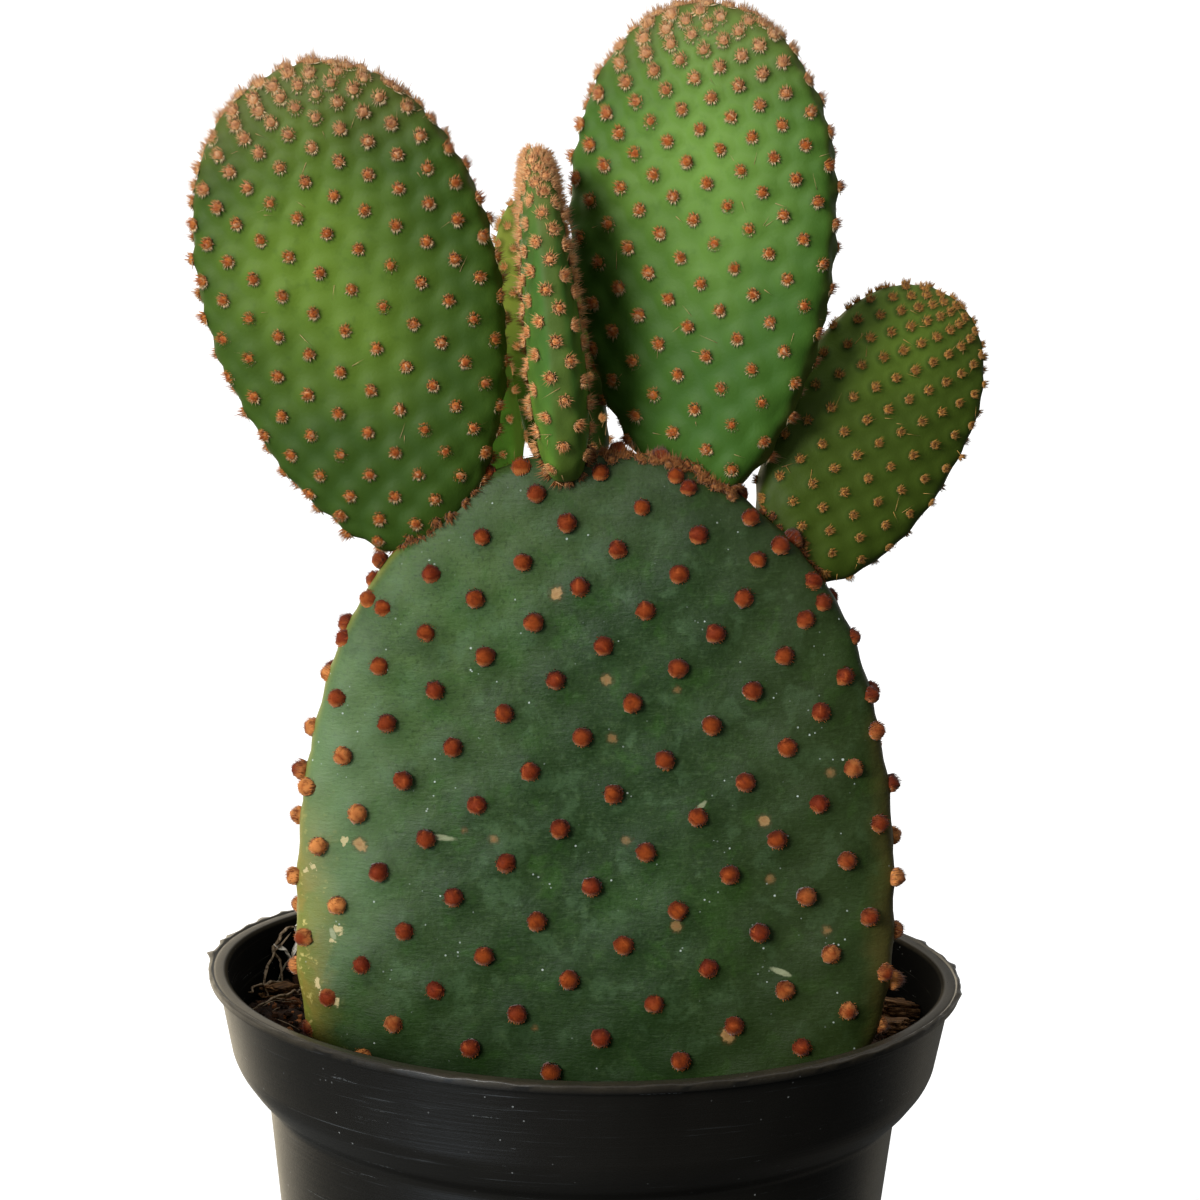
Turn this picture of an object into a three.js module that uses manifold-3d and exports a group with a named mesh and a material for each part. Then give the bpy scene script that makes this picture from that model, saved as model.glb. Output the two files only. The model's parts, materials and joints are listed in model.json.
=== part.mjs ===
// Potted bunny ears cactus: a black nursery pot, its soil, one old pad standing in the soil and
// six younger pads on the old one's top edge, all of them dotted with tufts of short bristles.
// Millimetres, +Z up. The origin is the middle of the pot's underside and the viewer is at -Y.

import * as THREE from 'three';
import { ConvexHull } from 'three/addons/math/ConvexHull.js';
import { mergeVertices } from 'three/addons/utils/BufferGeometryUtils.js';
import Module from 'manifold-3d';

const wasm = await Module();
wasm.setup();

// Driving dimensions

const CLEARANCE = 0.35; // between pieces that touch
const TUFT_ROOM = 1.5; // round a tuft, to the soil and to the other pads

const POT = {
  height: 104,
  wall: 1.5,
  floor: 2,
  sides: 48,
  baseRadius: 40.5,
  bodyRadius: 50.3, // at the top of the tapered body
  shoulderDrop: 21, // from the lip's top to the body's top
  shoulder: [[0, 0], [2.7, 2], [5, 4.8]], // its rounded steps, outwards and up from the body's top
  shoulderWall: 1.2, // measured upwards
  collarRadius: 56.2, // at the collar's lower edge
  collarTopRadius: 58.5,
  collarDrop: 14.2, // from the lip's top to the collar's lower edge
  lipRadius: 60,
  lipThickness: 1.4,
};

const DRAIN = { count: 8, width: 3.6, height: 4, innerRadius: 34, reach: 12 };

const SOIL = { drop: 9, rings: [46, 36, 25, 12], hollow: { depth: 4.5, length: 36, width: 14 } };
const soilLevel = POT.height - SOIL.drop;
const SOIL_SWELLS = [ // height, radians for each millimetre of x and of y, and phase
  [0.4, 0.21, 0.17, 0.4],
  [0.4, 0.21, -0.17, 0.4],
  [0.6, 0.13, -0.24, 1.1],
  [0.4, 0.47, 0.31, 0],
];

const CHIPS = [
  { at: [50.5, 9, 30], size: [8.5, 6, 2.6], tilt: 12 },
  { at: [49.2, 0.5, -35], size: [6.5, 5, 2.2], tilt: -10 },
  { at: [-49.5, 14, 65], size: [7, 4.2, 2], tilt: 8 },
];
const CHIP_FORM = { // shares of the chip's size, but for the corners of a face and the seed
  corners: 7, shift: 0.6, edge: [0.38, 0.5], top: [0.35, 0.65], seed: 40,
};

// A pad's centre is where it is widest. Tilt leans it to the left, lean tips its head towards the
// viewer, and yaw turns its face to the right. Above and below are its reach along its own axis,
// and squareness is the exponent of its outline there (2 is an ellipse). An areole is one tuft's
// seat: area is the skin that each has at the widest place, and it shrinks towards the ends.

const OLD_TUFT = { radius: 1.75, height: 1.7, sides: 5, mound: 0.1 };
const YOUNG_TUFT = { radius: 1.3, height: 1.5, sides: 4, mound: 0.35 };
const SMALL_TUFT = { radius: 1.0, height: 1.3, sides: 4, mound: 0.25 };

const PADS = [
  {
    name: 'pad_base',
    centre: [1.5, -13.5, 119.6], tilt: 0, lean: 0, yaw: 0,
    halfWidth: 46.6, above: 71.2, below: 53, squareness: [2.15, 2.2], halfThickness: 8,
    areoles: { area: 92, crowding: [0.09, 0.5], turn: 0.449, hand: -1, spread: -0.22 },
    tuft: OLD_TUFT, color: 0x3c5a45,
  },
  {
    name: 'pad_left', parent: 'pad_base',
    centre: [-38.2, -13, 218], tilt: 15, lean: 0, yaw: -8,
    halfWidth: 22.6, above: 31.1, below: 44.3, squareness: [2, 1.8], halfThickness: 4.8,
    areoles: { area: 28.5, crowding: [0.25, 0.78], turn: 0.081, hand: 1, spread: -0.23 },
    tuft: YOUNG_TUFT, color: 0x4c7a2e,
  },
  {
    name: 'pad_left_back', parent: 'pad_base',
    centre: [-24.1, -2.6, 206.2], tilt: 24, lean: -14, yaw: -25,
    halfWidth: 9.4, above: 15.8, below: 25.6, squareness: [2, 2], halfThickness: 3.6,
    areoles: { area: 19, crowding: [0.5, 0.5], turn: 0.2, hand: 1, spread: 0 },
    tuft: SMALL_TUFT, color: 0x4f7d2c,
  },
  {
    name: 'pad_mid', parent: 'pad_base',
    centre: [-6.4, -16.6, 207.5], tilt: 6.5, lean: 0, yaw: -86,
    halfWidth: 13, above: 29.7, below: 21, squareness: [2, 1.7], halfThickness: 4.1,
    areoles: { area: 19, crowding: [0.6, 0.6], turn: 0.4, hand: -1, spread: 0 },
    tuft: SMALL_TUFT, color: 0x537f2e,
  },
  {
    name: 'pad_mid_back', parent: 'pad_base',
    centre: [-7.5, 2.8, 206.7], tilt: 13, lean: -24, yaw: 0,
    halfWidth: 7.6, above: 23, below: 28, squareness: [2, 2], halfThickness: 3.4,
    areoles: { area: 18, crowding: [0.5, 0.6], turn: 0.65, hand: 1, spread: 0 },
    tuft: SMALL_TUFT, color: 0x5c8a30,
  },
  {
    name: 'pad_right', parent: 'pad_base',
    centre: [15.9, -9, 228.8], tilt: 0.9, lean: -3, yaw: -20,
    halfWidth: 20.8, above: 29.5, below: 45.8, squareness: [2.05, 1.8], halfThickness: 5,
    areoles: { area: 26, crowding: [0.45, 0.32], turn: 0.693, hand: 1, spread: -0.06 },
    tuft: YOUNG_TUFT, color: 0x558a3e,
  },
  {
    name: 'pad_far_right', parent: 'pad_base',
    centre: [44.3, -2.2, 196.1], tilt: -29.8, lean: -16, yaw: 6,
    halfWidth: 14.4, above: 21.5, below: 29, squareness: [2.1, 2.1], halfThickness: 4.3,
    areoles: { area: 17.5, crowding: [0.45, 0.66], turn: 0.628, hand: -1, spread: 0.04 },
    tuft: SMALL_TUFT, color: 0x4a6b22,
  },
];

const GOLDEN_TURN = 137.50776 / 360; // from one areole to the next, round the stem
const RIM_POWER = 0.3; // how bluntly a pad's face rolls over into its rim
const FOOT_SWELL = 0.2; // how much thicker a pad is at its foot than at its middle
const RIM_GIRTH = 3.2; // a section's girth is four half widths and this many half thicknesses
const RIM_SPACING = 4.5; // between the plain points along a pad's rim
const RIM_BANDS = { thin: [0, 0.2, -0.2], thick: [0, 0.15, -0.15, 0.5, -0.5] }; // front to back
const THICK_PAD = 6; // half thickness
const BARE_ENDS = 0.003; // share of a pad's length at each end that has no areole
const TIP = { shrink: 0.3, from: 0.45 }; // how much smaller the last tufts are, and from where

// Solids for cutting

function toSolid(geometry) {
  const bare = geometry.clone();
  bare.deleteAttribute('normal');
  bare.deleteAttribute('uv');
  const merged = mergeVertices(bare, 1e-3);
  const source = merged.index.array;
  const triangles = [];
  for (let i = 0; i < source.length; i += 3) {
    const [a, b, c] = source.slice(i, i + 3);
    if (a !== b && b !== c && c !== a) triangles.push(a, b, c);
  }
  return new wasm.Manifold(new wasm.Mesh({
    numProp: 3,
    vertProperties: new Float32Array(merged.attributes.position.array),
    triVerts: new Uint32Array(triangles),
  }));
}

function toGeometry(solid) {
  const mesh = solid.getMesh();
  const geometry = new THREE.BufferGeometry();
  geometry.setAttribute('position', new THREE.BufferAttribute(new Float32Array(mesh.vertProperties), 3));
  geometry.setIndex(new THREE.BufferAttribute(new Uint32Array(mesh.triVerts), 1));
  return geometry;
}

function largestPiece(solid) {
  return solid.decompose().reduce((best, piece) => (piece.volume() > best.volume() ? piece : best));
}

function polyhedron(points, directions) {
  // The points joined by the triangles of the convex hull of their directions from the middle.
  const order = new Map(directions.map((direction, i) => [direction, i]));
  const hull = new ConvexHull().setFromPoints(directions);
  const index = [];
  for (const face of hull.faces) {
    const edge = face.edge;
    index.push(...[edge.tail(), edge.head(), edge.next.head()].map((vertex) => order.get(vertex.point)));
  }
  return new THREE.BufferGeometry().setFromPoints(index.map((i) => points[i]));
}

// Pot: injection moulded in one piece, so its inside follows its outside

function potInside() {
  const body = POT.height - POT.shoulderDrop + POT.shoulderWall;
  return [
    [POT.baseRadius - POT.wall, POT.floor],
    ...POT.shoulder.map(([out, up]) => [POT.bodyRadius - POT.wall + out, body + up]),
    [POT.collarRadius - POT.wall, POT.height - POT.collarDrop + POT.shoulderWall],
    [POT.collarTopRadius - POT.wall, POT.height],
  ];
}

function potGeometry() {
  const body = POT.height - POT.shoulderDrop;
  const lipUnderside = POT.height - POT.lipThickness;
  const outside = [
    [0, 0],
    [POT.baseRadius, 0],
    ...POT.shoulder.map(([out, up]) => [POT.bodyRadius + out, body + up]),
    [POT.collarRadius, POT.height - POT.collarDrop],
    [POT.collarTopRadius, lipUnderside],
    [POT.lipRadius, lipUnderside],
    [POT.lipRadius, POT.height],
  ];
  const profile = [...outside, ...potInside().reverse(), [0, POT.floor]];
  const shell = new THREE.LatheGeometry(profile.map(([r, z]) => new THREE.Vector2(r, z)), POT.sides);
  shell.rotateX(Math.PI / 2);
  let pot = toSolid(shell);
  for (let i = 0; i < DRAIN.count; i += 1) {
    const slot = new THREE.BoxGeometry(DRAIN.reach, DRAIN.width, 2 * DRAIN.height);
    slot.translate(DRAIN.innerRadius + DRAIN.reach / 2, 0, 0);
    slot.rotateZ((i + 0.5) * 2 * Math.PI / DRAIN.count);
    pot = pot.subtract(toSolid(slot));
  }
  return toGeometry(pot);
}

// Pads: one form for all of them, an egg-shaped outline with blunt rims

class Pad {
  constructor(values) {
    Object.assign(this, values);
    this.position = new THREE.Vector3(...this.centre);
    const turns = [this.lean, -this.tilt, this.yaw].map(THREE.MathUtils.degToRad);
    this.rotation = new THREE.Euler(...turns, 'YXZ');
    const turned = new THREE.Quaternion().setFromEuler(this.rotation);
    this.placed = new THREE.Matrix4().compose(this.position, turned, new THREE.Vector3(1, 1, 1));
    this.unplaced = this.placed.clone().invert();
  }

  reach(z) {
    return z > 0 ? this.above : this.below;
  }

  power(z) {
    return this.squareness[z > 0 ? 0 : 1];
  }

  outlineFraction(x, z, grown = 0) {
    // 0 in the middle of the pad, 1 on its rim
    const power = this.power(z);
    const across = Math.abs(x / (this.halfWidth + grown)) ** power;
    return (across + Math.abs(z / (this.reach(z) + grown)) ** power) ** (1 / power);
  }

  halfWidthAt(z) {
    const power = this.power(z);
    return this.halfWidth * Math.max(0, 1 - Math.abs(z / this.reach(z)) ** power) ** (1 / power);
  }

  thicknessAt(x, z, grown = 0) {
    const fraction = Math.min(1, this.outlineFraction(x, z, grown));
    const middle = this.halfThickness * (1 - FOOT_SWELL * z / this.reach(z)) + grown;
    return middle * (1 - fraction ** 2) ** RIM_POWER;
  }

  skin(direction) {
    // The skin's point for a direction of the unit sphere
    const { x, y, z } = direction;
    const fraction = Math.hypot(x, z);
    if (fraction < 1e-9) return new THREE.Vector3(0, Math.sign(y) * this.halfThickness, 0);
    const power = this.power(z);
    const across = Math.sign(x) * this.halfWidth * Math.abs(x / fraction) ** (2 / power) * fraction;
    const along = Math.sign(z) * this.reach(z) * Math.abs(z / fraction) ** (2 / power) * fraction;
    const middle = this.halfThickness * (1 - FOOT_SWELL * along / this.reach(z));
    return new THREE.Vector3(across, Math.sign(y) * middle * Math.abs(y) ** (2 * RIM_POWER), along);
  }

  direction(point) {
    // The direction whose skin point this is
    const fraction = Math.min(1, this.outlineFraction(point.x, point.z));
    const power = this.power(point.z);
    const part = (length, reach) => Math.sign(length) * (Math.abs(length / reach) / fraction) ** (power / 2);
    const x = fraction * part(point.x, this.halfWidth);
    const z = fraction * part(point.z, this.reach(point.z));
    return new THREE.Vector3(x, Math.sign(point.y) * Math.sqrt(1 - fraction ** 2), z).normalize();
  }

  evened(direction) {
    // The direction moved so that equal steps over the skin are about equal steps over the sphere
    const fraction = Math.hypot(direction.x, direction.z);
    if (fraction < 1e-9) return direction.clone();
    const across = this.halfWidth * fraction;
    const down = this.halfThickness * (1 - Math.abs(direction.y) ** (2 * RIM_POWER));
    const angle = (Math.PI / 2) * (across + down) / (this.halfWidth + this.halfThickness);
    const scale = Math.sin(angle) / fraction;
    const y = Math.sign(direction.y) * Math.cos(angle);
    return new THREE.Vector3(direction.x * scale, y, direction.z * scale);
  }

  holds(point, grown) {
    // Whether a world point lies in the pad grown by that much
    const local = point.clone().applyMatrix4(this.unplaced);
    if (this.outlineFraction(local.x, local.z, grown) > 1) return false;
    return Math.abs(local.y) < this.thicknessAt(local.x, local.z, grown);
  }
}

function slopes(pad, direction) {
  // Two steps on the sphere with the skin's answer to each, and the skin's normal there
  const step = 0.02;
  const spare = Math.abs(direction.y) < 0.9 ? new THREE.Vector3(0, 1, 0) : new THREE.Vector3(1, 0, 0);
  const first = spare.cross(direction).normalize();
  const second = direction.clone().cross(first);
  const [alongFirst, alongSecond] = [first, second].map((side) => {
    const ahead = direction.clone().addScaledVector(side, step).normalize();
    const behind = direction.clone().addScaledVector(side, -step).normalize();
    return pad.skin(ahead).sub(pad.skin(behind)).divideScalar(2 * step);
  });
  const normal = alongFirst.clone().cross(alongSecond).normalize();
  return { first, second, alongFirst, alongSecond, normal };
}

function ringDirections(pad, direction, radius, count) {
  // Directions whose skin points stand evenly round a seat, at one radius
  const { first, second, alongFirst, alongSecond, normal } = slopes(pad, direction);
  const seat = pad.skin(direction);
  const up = alongFirst.clone().normalize();
  const side = normal.clone().cross(up);
  const [a, b] = [alongFirst.dot(up), alongSecond.dot(up)];
  const [c, d] = [alongFirst.dot(side), alongSecond.dot(side)];
  const determinant = a * d - b * c;
  return Array.from({ length: count }, (_, i) => {
    const turn = (i / count) * 2 * Math.PI;
    const [p, q] = [radius * Math.cos(turn), radius * Math.sin(turn)];
    const [s, t] = [(d * p - b * q) / determinant, (a * q - c * p) / determinant];
    let scale = 1;
    let answer = direction;
    for (let pass = 0; pass < 4; pass += 1) {
      answer = direction.clone().addScaledVector(first, s * scale).addScaledVector(second, t * scale);
      answer.normalize();
      scale *= THREE.MathUtils.clamp(radius / pad.skin(answer).distanceTo(seat), 0.5, 2);
    }
    return answer;
  });
}

function sectionPoint(pad, z, turn) {
  // The point that far round the pad's cross-section: 0 to 0.5 runs over the front, left to right
  const steps = 32;
  const width = pad.halfWidthAt(z);
  const front = turn < 0.5;
  const centred = 4 * (front ? turn : 1 - turn) - 1;
  const { spread } = pad.areoles;
  const wanted = (centred * (1 - spread) + spread * centred ** 3 + 1) / 2;
  const points = [];
  for (let i = 0; i <= steps; i += 1) {
    const x = -width * Math.cos((Math.PI * i) / steps);
    points.push(new THREE.Vector2(x, i % steps === 0 ? 0 : pad.thicknessAt(x, z)));
  }
  const lengths = points.slice(1).map((point, i) => point.distanceTo(points[i]));
  let left = wanted * lengths.reduce((sum, length) => sum + length, 0);
  let i = 0;
  while (i < steps - 1 && left > lengths[i]) {
    left -= lengths[i];
    i += 1;
  }
  const found = points[i].clone().lerp(points[i + 1], left / lengths[i]);
  return new THREE.Vector3(found.x, front ? -found.y : found.y, z);
}

function areoleSeats(pad) {
  // One spiral up the stem, a golden turn from each areole to the next, rising by the skin's area
  const steps = 1500;
  const { area, crowding, turn, hand } = pad.areoles;
  const heights = [];
  const counts = [0];
  for (let i = 0; i <= steps; i += 1) {
    const share = BARE_ENDS + (1 - 2 * BARE_ENDS) * (i / steps);
    heights.push(THREE.MathUtils.lerp(-pad.below, pad.above, share));
  }
  const density = (z) => {
    const share = z / pad.reach(z);
    const girth = 4 * pad.halfWidthAt(z) + RIM_GIRTH * pad.thicknessAt(0, z);
    return girth / (area * Math.exp(-crowding[0] * share - crowding[1] * share ** 2));
  };
  for (let i = 1; i <= steps; i += 1) {
    const mean = (density(heights[i]) + density(heights[i - 1])) / 2;
    counts.push(counts[i - 1] + mean * (heights[i] - heights[i - 1]));
  }
  const middle = counts[heights.findIndex((z) => z >= 0)];
  const seats = [];
  let i = 0;
  for (let number = Math.ceil(-middle); number < counts[steps] - middle; number += 1) {
    while (counts[i + 1] - middle < number) i += 1;
    const share = (number + middle - counts[i]) / (counts[i + 1] - counts[i]);
    const z = THREE.MathUtils.lerp(heights[i], heights[i + 1], share);
    const round = turn + hand * number * GOLDEN_TURN;
    seats.push({ point: sectionPoint(pad, z, round - Math.floor(round)), share: z / pad.reach(z) });
  }
  return seats;
}

function padGeometry(pad, { tufted, grown }) {
  const points = [];
  const directions = [];
  const add = (direction, lift) => {
    points.push(pad.skin(direction).addScaledVector(slopes(pad, direction).normal, lift + grown));
    directions.push(pad.evened(direction));
  };
  const tufts = pad.seats.filter((seat) => seat.bears);
  for (const seat of pad.seats) {
    const direction = pad.direction(seat.point);
    if (!seat.bears) {
      add(direction, 0);
      continue;
    }
    const ring = ringDirections(pad, direction, pad.tuft.radius * seat.size, pad.tuft.sides);
    add(direction, tufted ? pad.tuft.height * seat.size + pad.tuft.mound : 0);
    for (const place of ring) add(place, tufted ? pad.tuft.mound : 0);
  }
  const rimSteps = Math.round(Math.PI * (pad.halfWidth + (pad.above + pad.below) / 2) / RIM_SPACING);
  for (const offset of RIM_BANDS[pad.halfThickness > THICK_PAD ? 'thick' : 'thin']) {
    for (let i = 0; i < rimSteps; i += 1) {
      const angle = ((i + (offset === 0 ? 0 : 0.5)) / rimSteps) * 2 * Math.PI;
      const radius = Math.sqrt(1 - offset ** 2);
      const direction = new THREE.Vector3(radius * Math.cos(angle), offset, radius * Math.sin(angle));
      const place = pad.skin(direction);
      const free = tufts.every((seat) => seat.point.distanceTo(place) > 2 * pad.tuft.radius * seat.size);
      if (free) add(direction, 0);
    }
  }
  return polyhedron(points, directions);
}

function tipShrink(share) {
  return 1 - TIP.shrink * THREE.MathUtils.smoothstep(share, TIP.from, 1);
}

const pads = PADS.map((values) => new Pad(values));
for (const pad of pads) {
  // A tuft needs room: it is left out in the soil and where another pad would touch it
  const kin = pads.filter((other) => other !== pad);
  const room = pad.tuft.radius + TUFT_ROOM;
  pad.seats = areoleSeats(pad);
  for (const seat of pad.seats) {
    const world = seat.point.clone().applyMatrix4(pad.placed);
    seat.size = tipShrink(seat.share);
    const clear = kin.every((other) => !other.holds(world, room));
    seat.bears = clear && world.z > soilHeight(world.x, world.y) + room;
  }
}

function trimmedPad(pad) {
  const geometry = padGeometry(pad, { tufted: true, grown: 0 });
  if (!pad.parent) return geometry;
  const parent = pads.find((other) => other.name === pad.parent);
  const cutter = padGeometry(parent, { tufted: false, grown: CLEARANCE });
  cutter.applyMatrix4(parent.placed).applyMatrix4(pad.unplaced);
  return toGeometry(largestPiece(toSolid(geometry).subtract(toSolid(cutter))));
}

// Soil: a crumbly plug that fills the pot, with a plain hole for the old pad's foot

function soilHeight(x, y) {
  // Uneven, with a long hollow along the stem's foot
  const [stemX, stemY] = PADS[0].centre;
  const { depth, length, width } = SOIL.hollow;
  const hollow = depth * Math.exp(-(((x - stemX) / length) ** 4) - ((y - stemY) / width) ** 2);
  const swells = SOIL_SWELLS.map(([height, alongX, alongY, phase]) => (
    height * Math.sin(alongX * x + alongY * y + phase)
  ));
  return swells.reduce((sum, swell) => sum + swell, soilLevel - hollow);
}

function soilGeometry(stem) {
  const wall = potInside().slice(0, -1).map(([r, z]) => [r - CLEARANCE, z + CLEARANCE]);
  const [[lowRadius, low], [highRadius, high]] = potInside().slice(-2);
  const edge = THREE.MathUtils.mapLinear(soilLevel, low, high, lowRadius, highRadius) - CLEARANCE;
  const top = [edge, ...SOIL.rings].map((r) => [r, soilLevel]);
  const profile = [[0, POT.floor + CLEARANCE], ...wall, ...top, [0, soilLevel]];
  const plug = new THREE.LatheGeometry(profile.map(([r, z]) => new THREE.Vector2(r, z)), POT.sides);
  plug.rotateX(Math.PI / 2);
  const { position } = plug.attributes;
  for (let i = 0; i < position.count; i += 1) {
    const onTop = Math.abs(position.getZ(i) - soilLevel) < CLEARANCE;
    if (onTop) position.setZ(i, soilHeight(position.getX(i), position.getY(i)));
  }
  const hole = padGeometry(stem, { tufted: false, grown: CLEARANCE });
  hole.applyMatrix4(stem.placed);
  return toGeometry(largestPiece(toSolid(plug).subtract(toSolid(hole))));
}

// Bark chips: angular flakes lying on the soil

function seededRandom(seed) {
  let state = seed;
  return () => {
    state = (state * 16807) % 2147483647;
    return state / 2147483647;
  };
}

function chipGeometry(chip, seed) {
  const random = seededRandom(seed);
  const { corners: count, shift, edge, top } = CHIP_FORM;
  const corners = [];
  for (let i = 0; i < 2 * count; i += 1) {
    const angle = ((i % count) + shift * random()) * (2 * Math.PI / count);
    const radius = THREE.MathUtils.lerp(...edge, random());
    const side = i < count ? -0.5 : THREE.MathUtils.lerp(...top, random());
    corners.push(new THREE.Vector3(radius * Math.cos(angle), radius * Math.sin(angle), side));
  }
  const points = corners.map((corner) => corner.clone().multiply(new THREE.Vector3(...chip.size)));
  return polyhedron(points, corners);
}

function chipMesh(chip, number) {
  const mesh = new THREE.Mesh(chipGeometry(chip, CHIP_FORM.seed + number), barkMaterial);
  const [x, y, turn] = chip.at;
  mesh.name = `bark_chip_${number}`;
  mesh.rotation.set(0, THREE.MathUtils.degToRad(chip.tilt), THREE.MathUtils.degToRad(turn), 'ZYX');
  mesh.position.set(x, y, 0);
  mesh.updateMatrixWorld();
  const { position } = mesh.geometry.attributes;
  let lift = 0;
  for (let i = 0; i < position.count; i += 1) {
    const corner = new THREE.Vector3().fromBufferAttribute(position, i).applyMatrix4(mesh.matrixWorld);
    lift = Math.max(lift, soilHeight(corner.x, corner.y) - corner.z);
  }
  mesh.position.z = lift + CLEARANCE;
  return mesh;
}

// Assembly

const barkMaterial = new THREE.MeshStandardMaterial({ color: 0x5a4130, roughness: 0.9, metalness: 0 });

const pottedCactus = new THREE.Group();

const pot = new THREE.Mesh(
  potGeometry(),
  new THREE.MeshStandardMaterial({ color: 0x1b1c1c, roughness: 0.4, metalness: 0 }),
);
pot.name = 'pot';

const soil = new THREE.Mesh(
  soilGeometry(pads[0]),
  new THREE.MeshStandardMaterial({ color: 0x3a2418, roughness: 1, metalness: 0 }),
);
soil.name = 'soil';

const plant = new THREE.Group();
for (const pad of pads) {
  const skin = new THREE.MeshStandardMaterial({ color: pad.color, roughness: 0.55, metalness: 0 });
  const mesh = new THREE.Mesh(trimmedPad(pad), skin);
  mesh.name = pad.name;
  mesh.position.copy(pad.position);
  mesh.rotation.copy(pad.rotation);
  plant.add(mesh);
}

pottedCactus.add(pot, soil, plant, ...CHIPS.map((chip, i) => chipMesh(chip, i + 1)));

export default pottedCactus;
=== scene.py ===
"""Potted bunny ears cactus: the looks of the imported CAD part.

Six young pads on an old one, in a black nursery pot, seen from the photograph's place. Lengths
are in millimetres until a mesh is made, and the viewer stands at -Y.
"""

import json
import math

import bpy
import numpy as np
from mathutils import Matrix, Vector

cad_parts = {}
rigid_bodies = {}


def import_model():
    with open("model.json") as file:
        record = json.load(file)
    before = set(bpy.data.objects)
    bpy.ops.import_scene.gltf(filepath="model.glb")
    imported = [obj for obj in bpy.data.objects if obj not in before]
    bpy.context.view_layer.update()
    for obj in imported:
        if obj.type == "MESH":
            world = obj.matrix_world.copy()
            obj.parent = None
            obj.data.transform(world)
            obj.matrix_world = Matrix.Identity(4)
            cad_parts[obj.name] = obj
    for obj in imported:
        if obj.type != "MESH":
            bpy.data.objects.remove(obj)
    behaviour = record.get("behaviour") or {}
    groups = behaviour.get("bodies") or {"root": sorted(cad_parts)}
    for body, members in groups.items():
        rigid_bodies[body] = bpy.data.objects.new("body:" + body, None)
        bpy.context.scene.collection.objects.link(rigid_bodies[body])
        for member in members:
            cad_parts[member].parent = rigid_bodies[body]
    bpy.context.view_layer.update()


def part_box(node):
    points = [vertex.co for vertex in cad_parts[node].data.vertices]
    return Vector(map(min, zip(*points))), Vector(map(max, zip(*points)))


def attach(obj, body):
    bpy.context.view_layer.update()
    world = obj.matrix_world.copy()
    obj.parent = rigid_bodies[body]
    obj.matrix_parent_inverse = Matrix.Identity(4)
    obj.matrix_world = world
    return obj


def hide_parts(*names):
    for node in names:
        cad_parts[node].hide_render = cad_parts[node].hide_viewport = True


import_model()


# Nursery pot: one thin shell of black recycled polypropylene, injection moulded, with a deep
# collar and a flat lip. Ragged flash is left round the lip, and handling has scratched it.

MM = 0.001  # metres

LIP_TOP = 104
LIP_OUTSIDE = 60
LIP_FROM, INSIDE_TO = 56.9, 57.6  # radius where the lip's finish begins, and where the inside's ends
POT_PROFILE = [  # radius, height and rounding of each corner, up the outside and down the inside
    (40.5, 0, 1.2), (41.2, 6, 0), (50.3, 83, 1.0), (53, 85, 0.9), (55.3, 87.8, 0.9), (56.2, 89.8, 0.7),
    (58.5, 102.5, 0.2), (59.9, 102.6, 0.15), (60, 103.9, 0.3), (59.45, 104.05, 0.15),
    (59.2, 103.8, 0.1), (58.9, 103.95, 0.15), (57, 104, 0.7), (54.7, 91, 0.8), (53.8, 89, 0.8),
    (51.5, 86.2, 0.8), (48.8, 84.2, 0.8), (39.7, 8, 0), (39, 2, 1.5),
]
POT_SIDES = 288
FLASH = [  # angle in degrees, width in degrees and reach of each ragged tongue on the lip
    (177, 1.6, 0.9), (169, 1.3, 0.5), (165, 1.2, 0.8), (158, 1.5, 0.4), (153, 1.4, 0.9),
    (147, 1.1, 0.7), (142, 1.6, 0.8), (131, 1.8, 0.5), (7, 1.3, 0.7), (-9, 1.2, 0.5), (22, 2, 0.5),
    (-118, 1.0, 0.3), (64, 1.6, 0.4), (101, 1.4, 0.5),
]
FLASH_ROOT = 0.45  # how far in from the lip's edge the flash begins to swell
RIM_RISE = (0.5, 1.9, 1.4)  # how far the soft collar is sprung up: all round, at its sides, at its left
DRAIN_NOTCHES = (8, 3.6, 4, 34, 46)  # how many, width, height, and distance from the axis, in and out


def ink(code):
    """A colour such as "#2e2f2d" as the linear values that a shader takes"""
    parts = [int(code[i:i + 2], 16) / 255 for i in (1, 3, 5)]
    return (*[c / 12.92 if c <= 0.04045 else ((c + 0.055) / 1.055) ** 2.4 for c in parts], 1)


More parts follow.
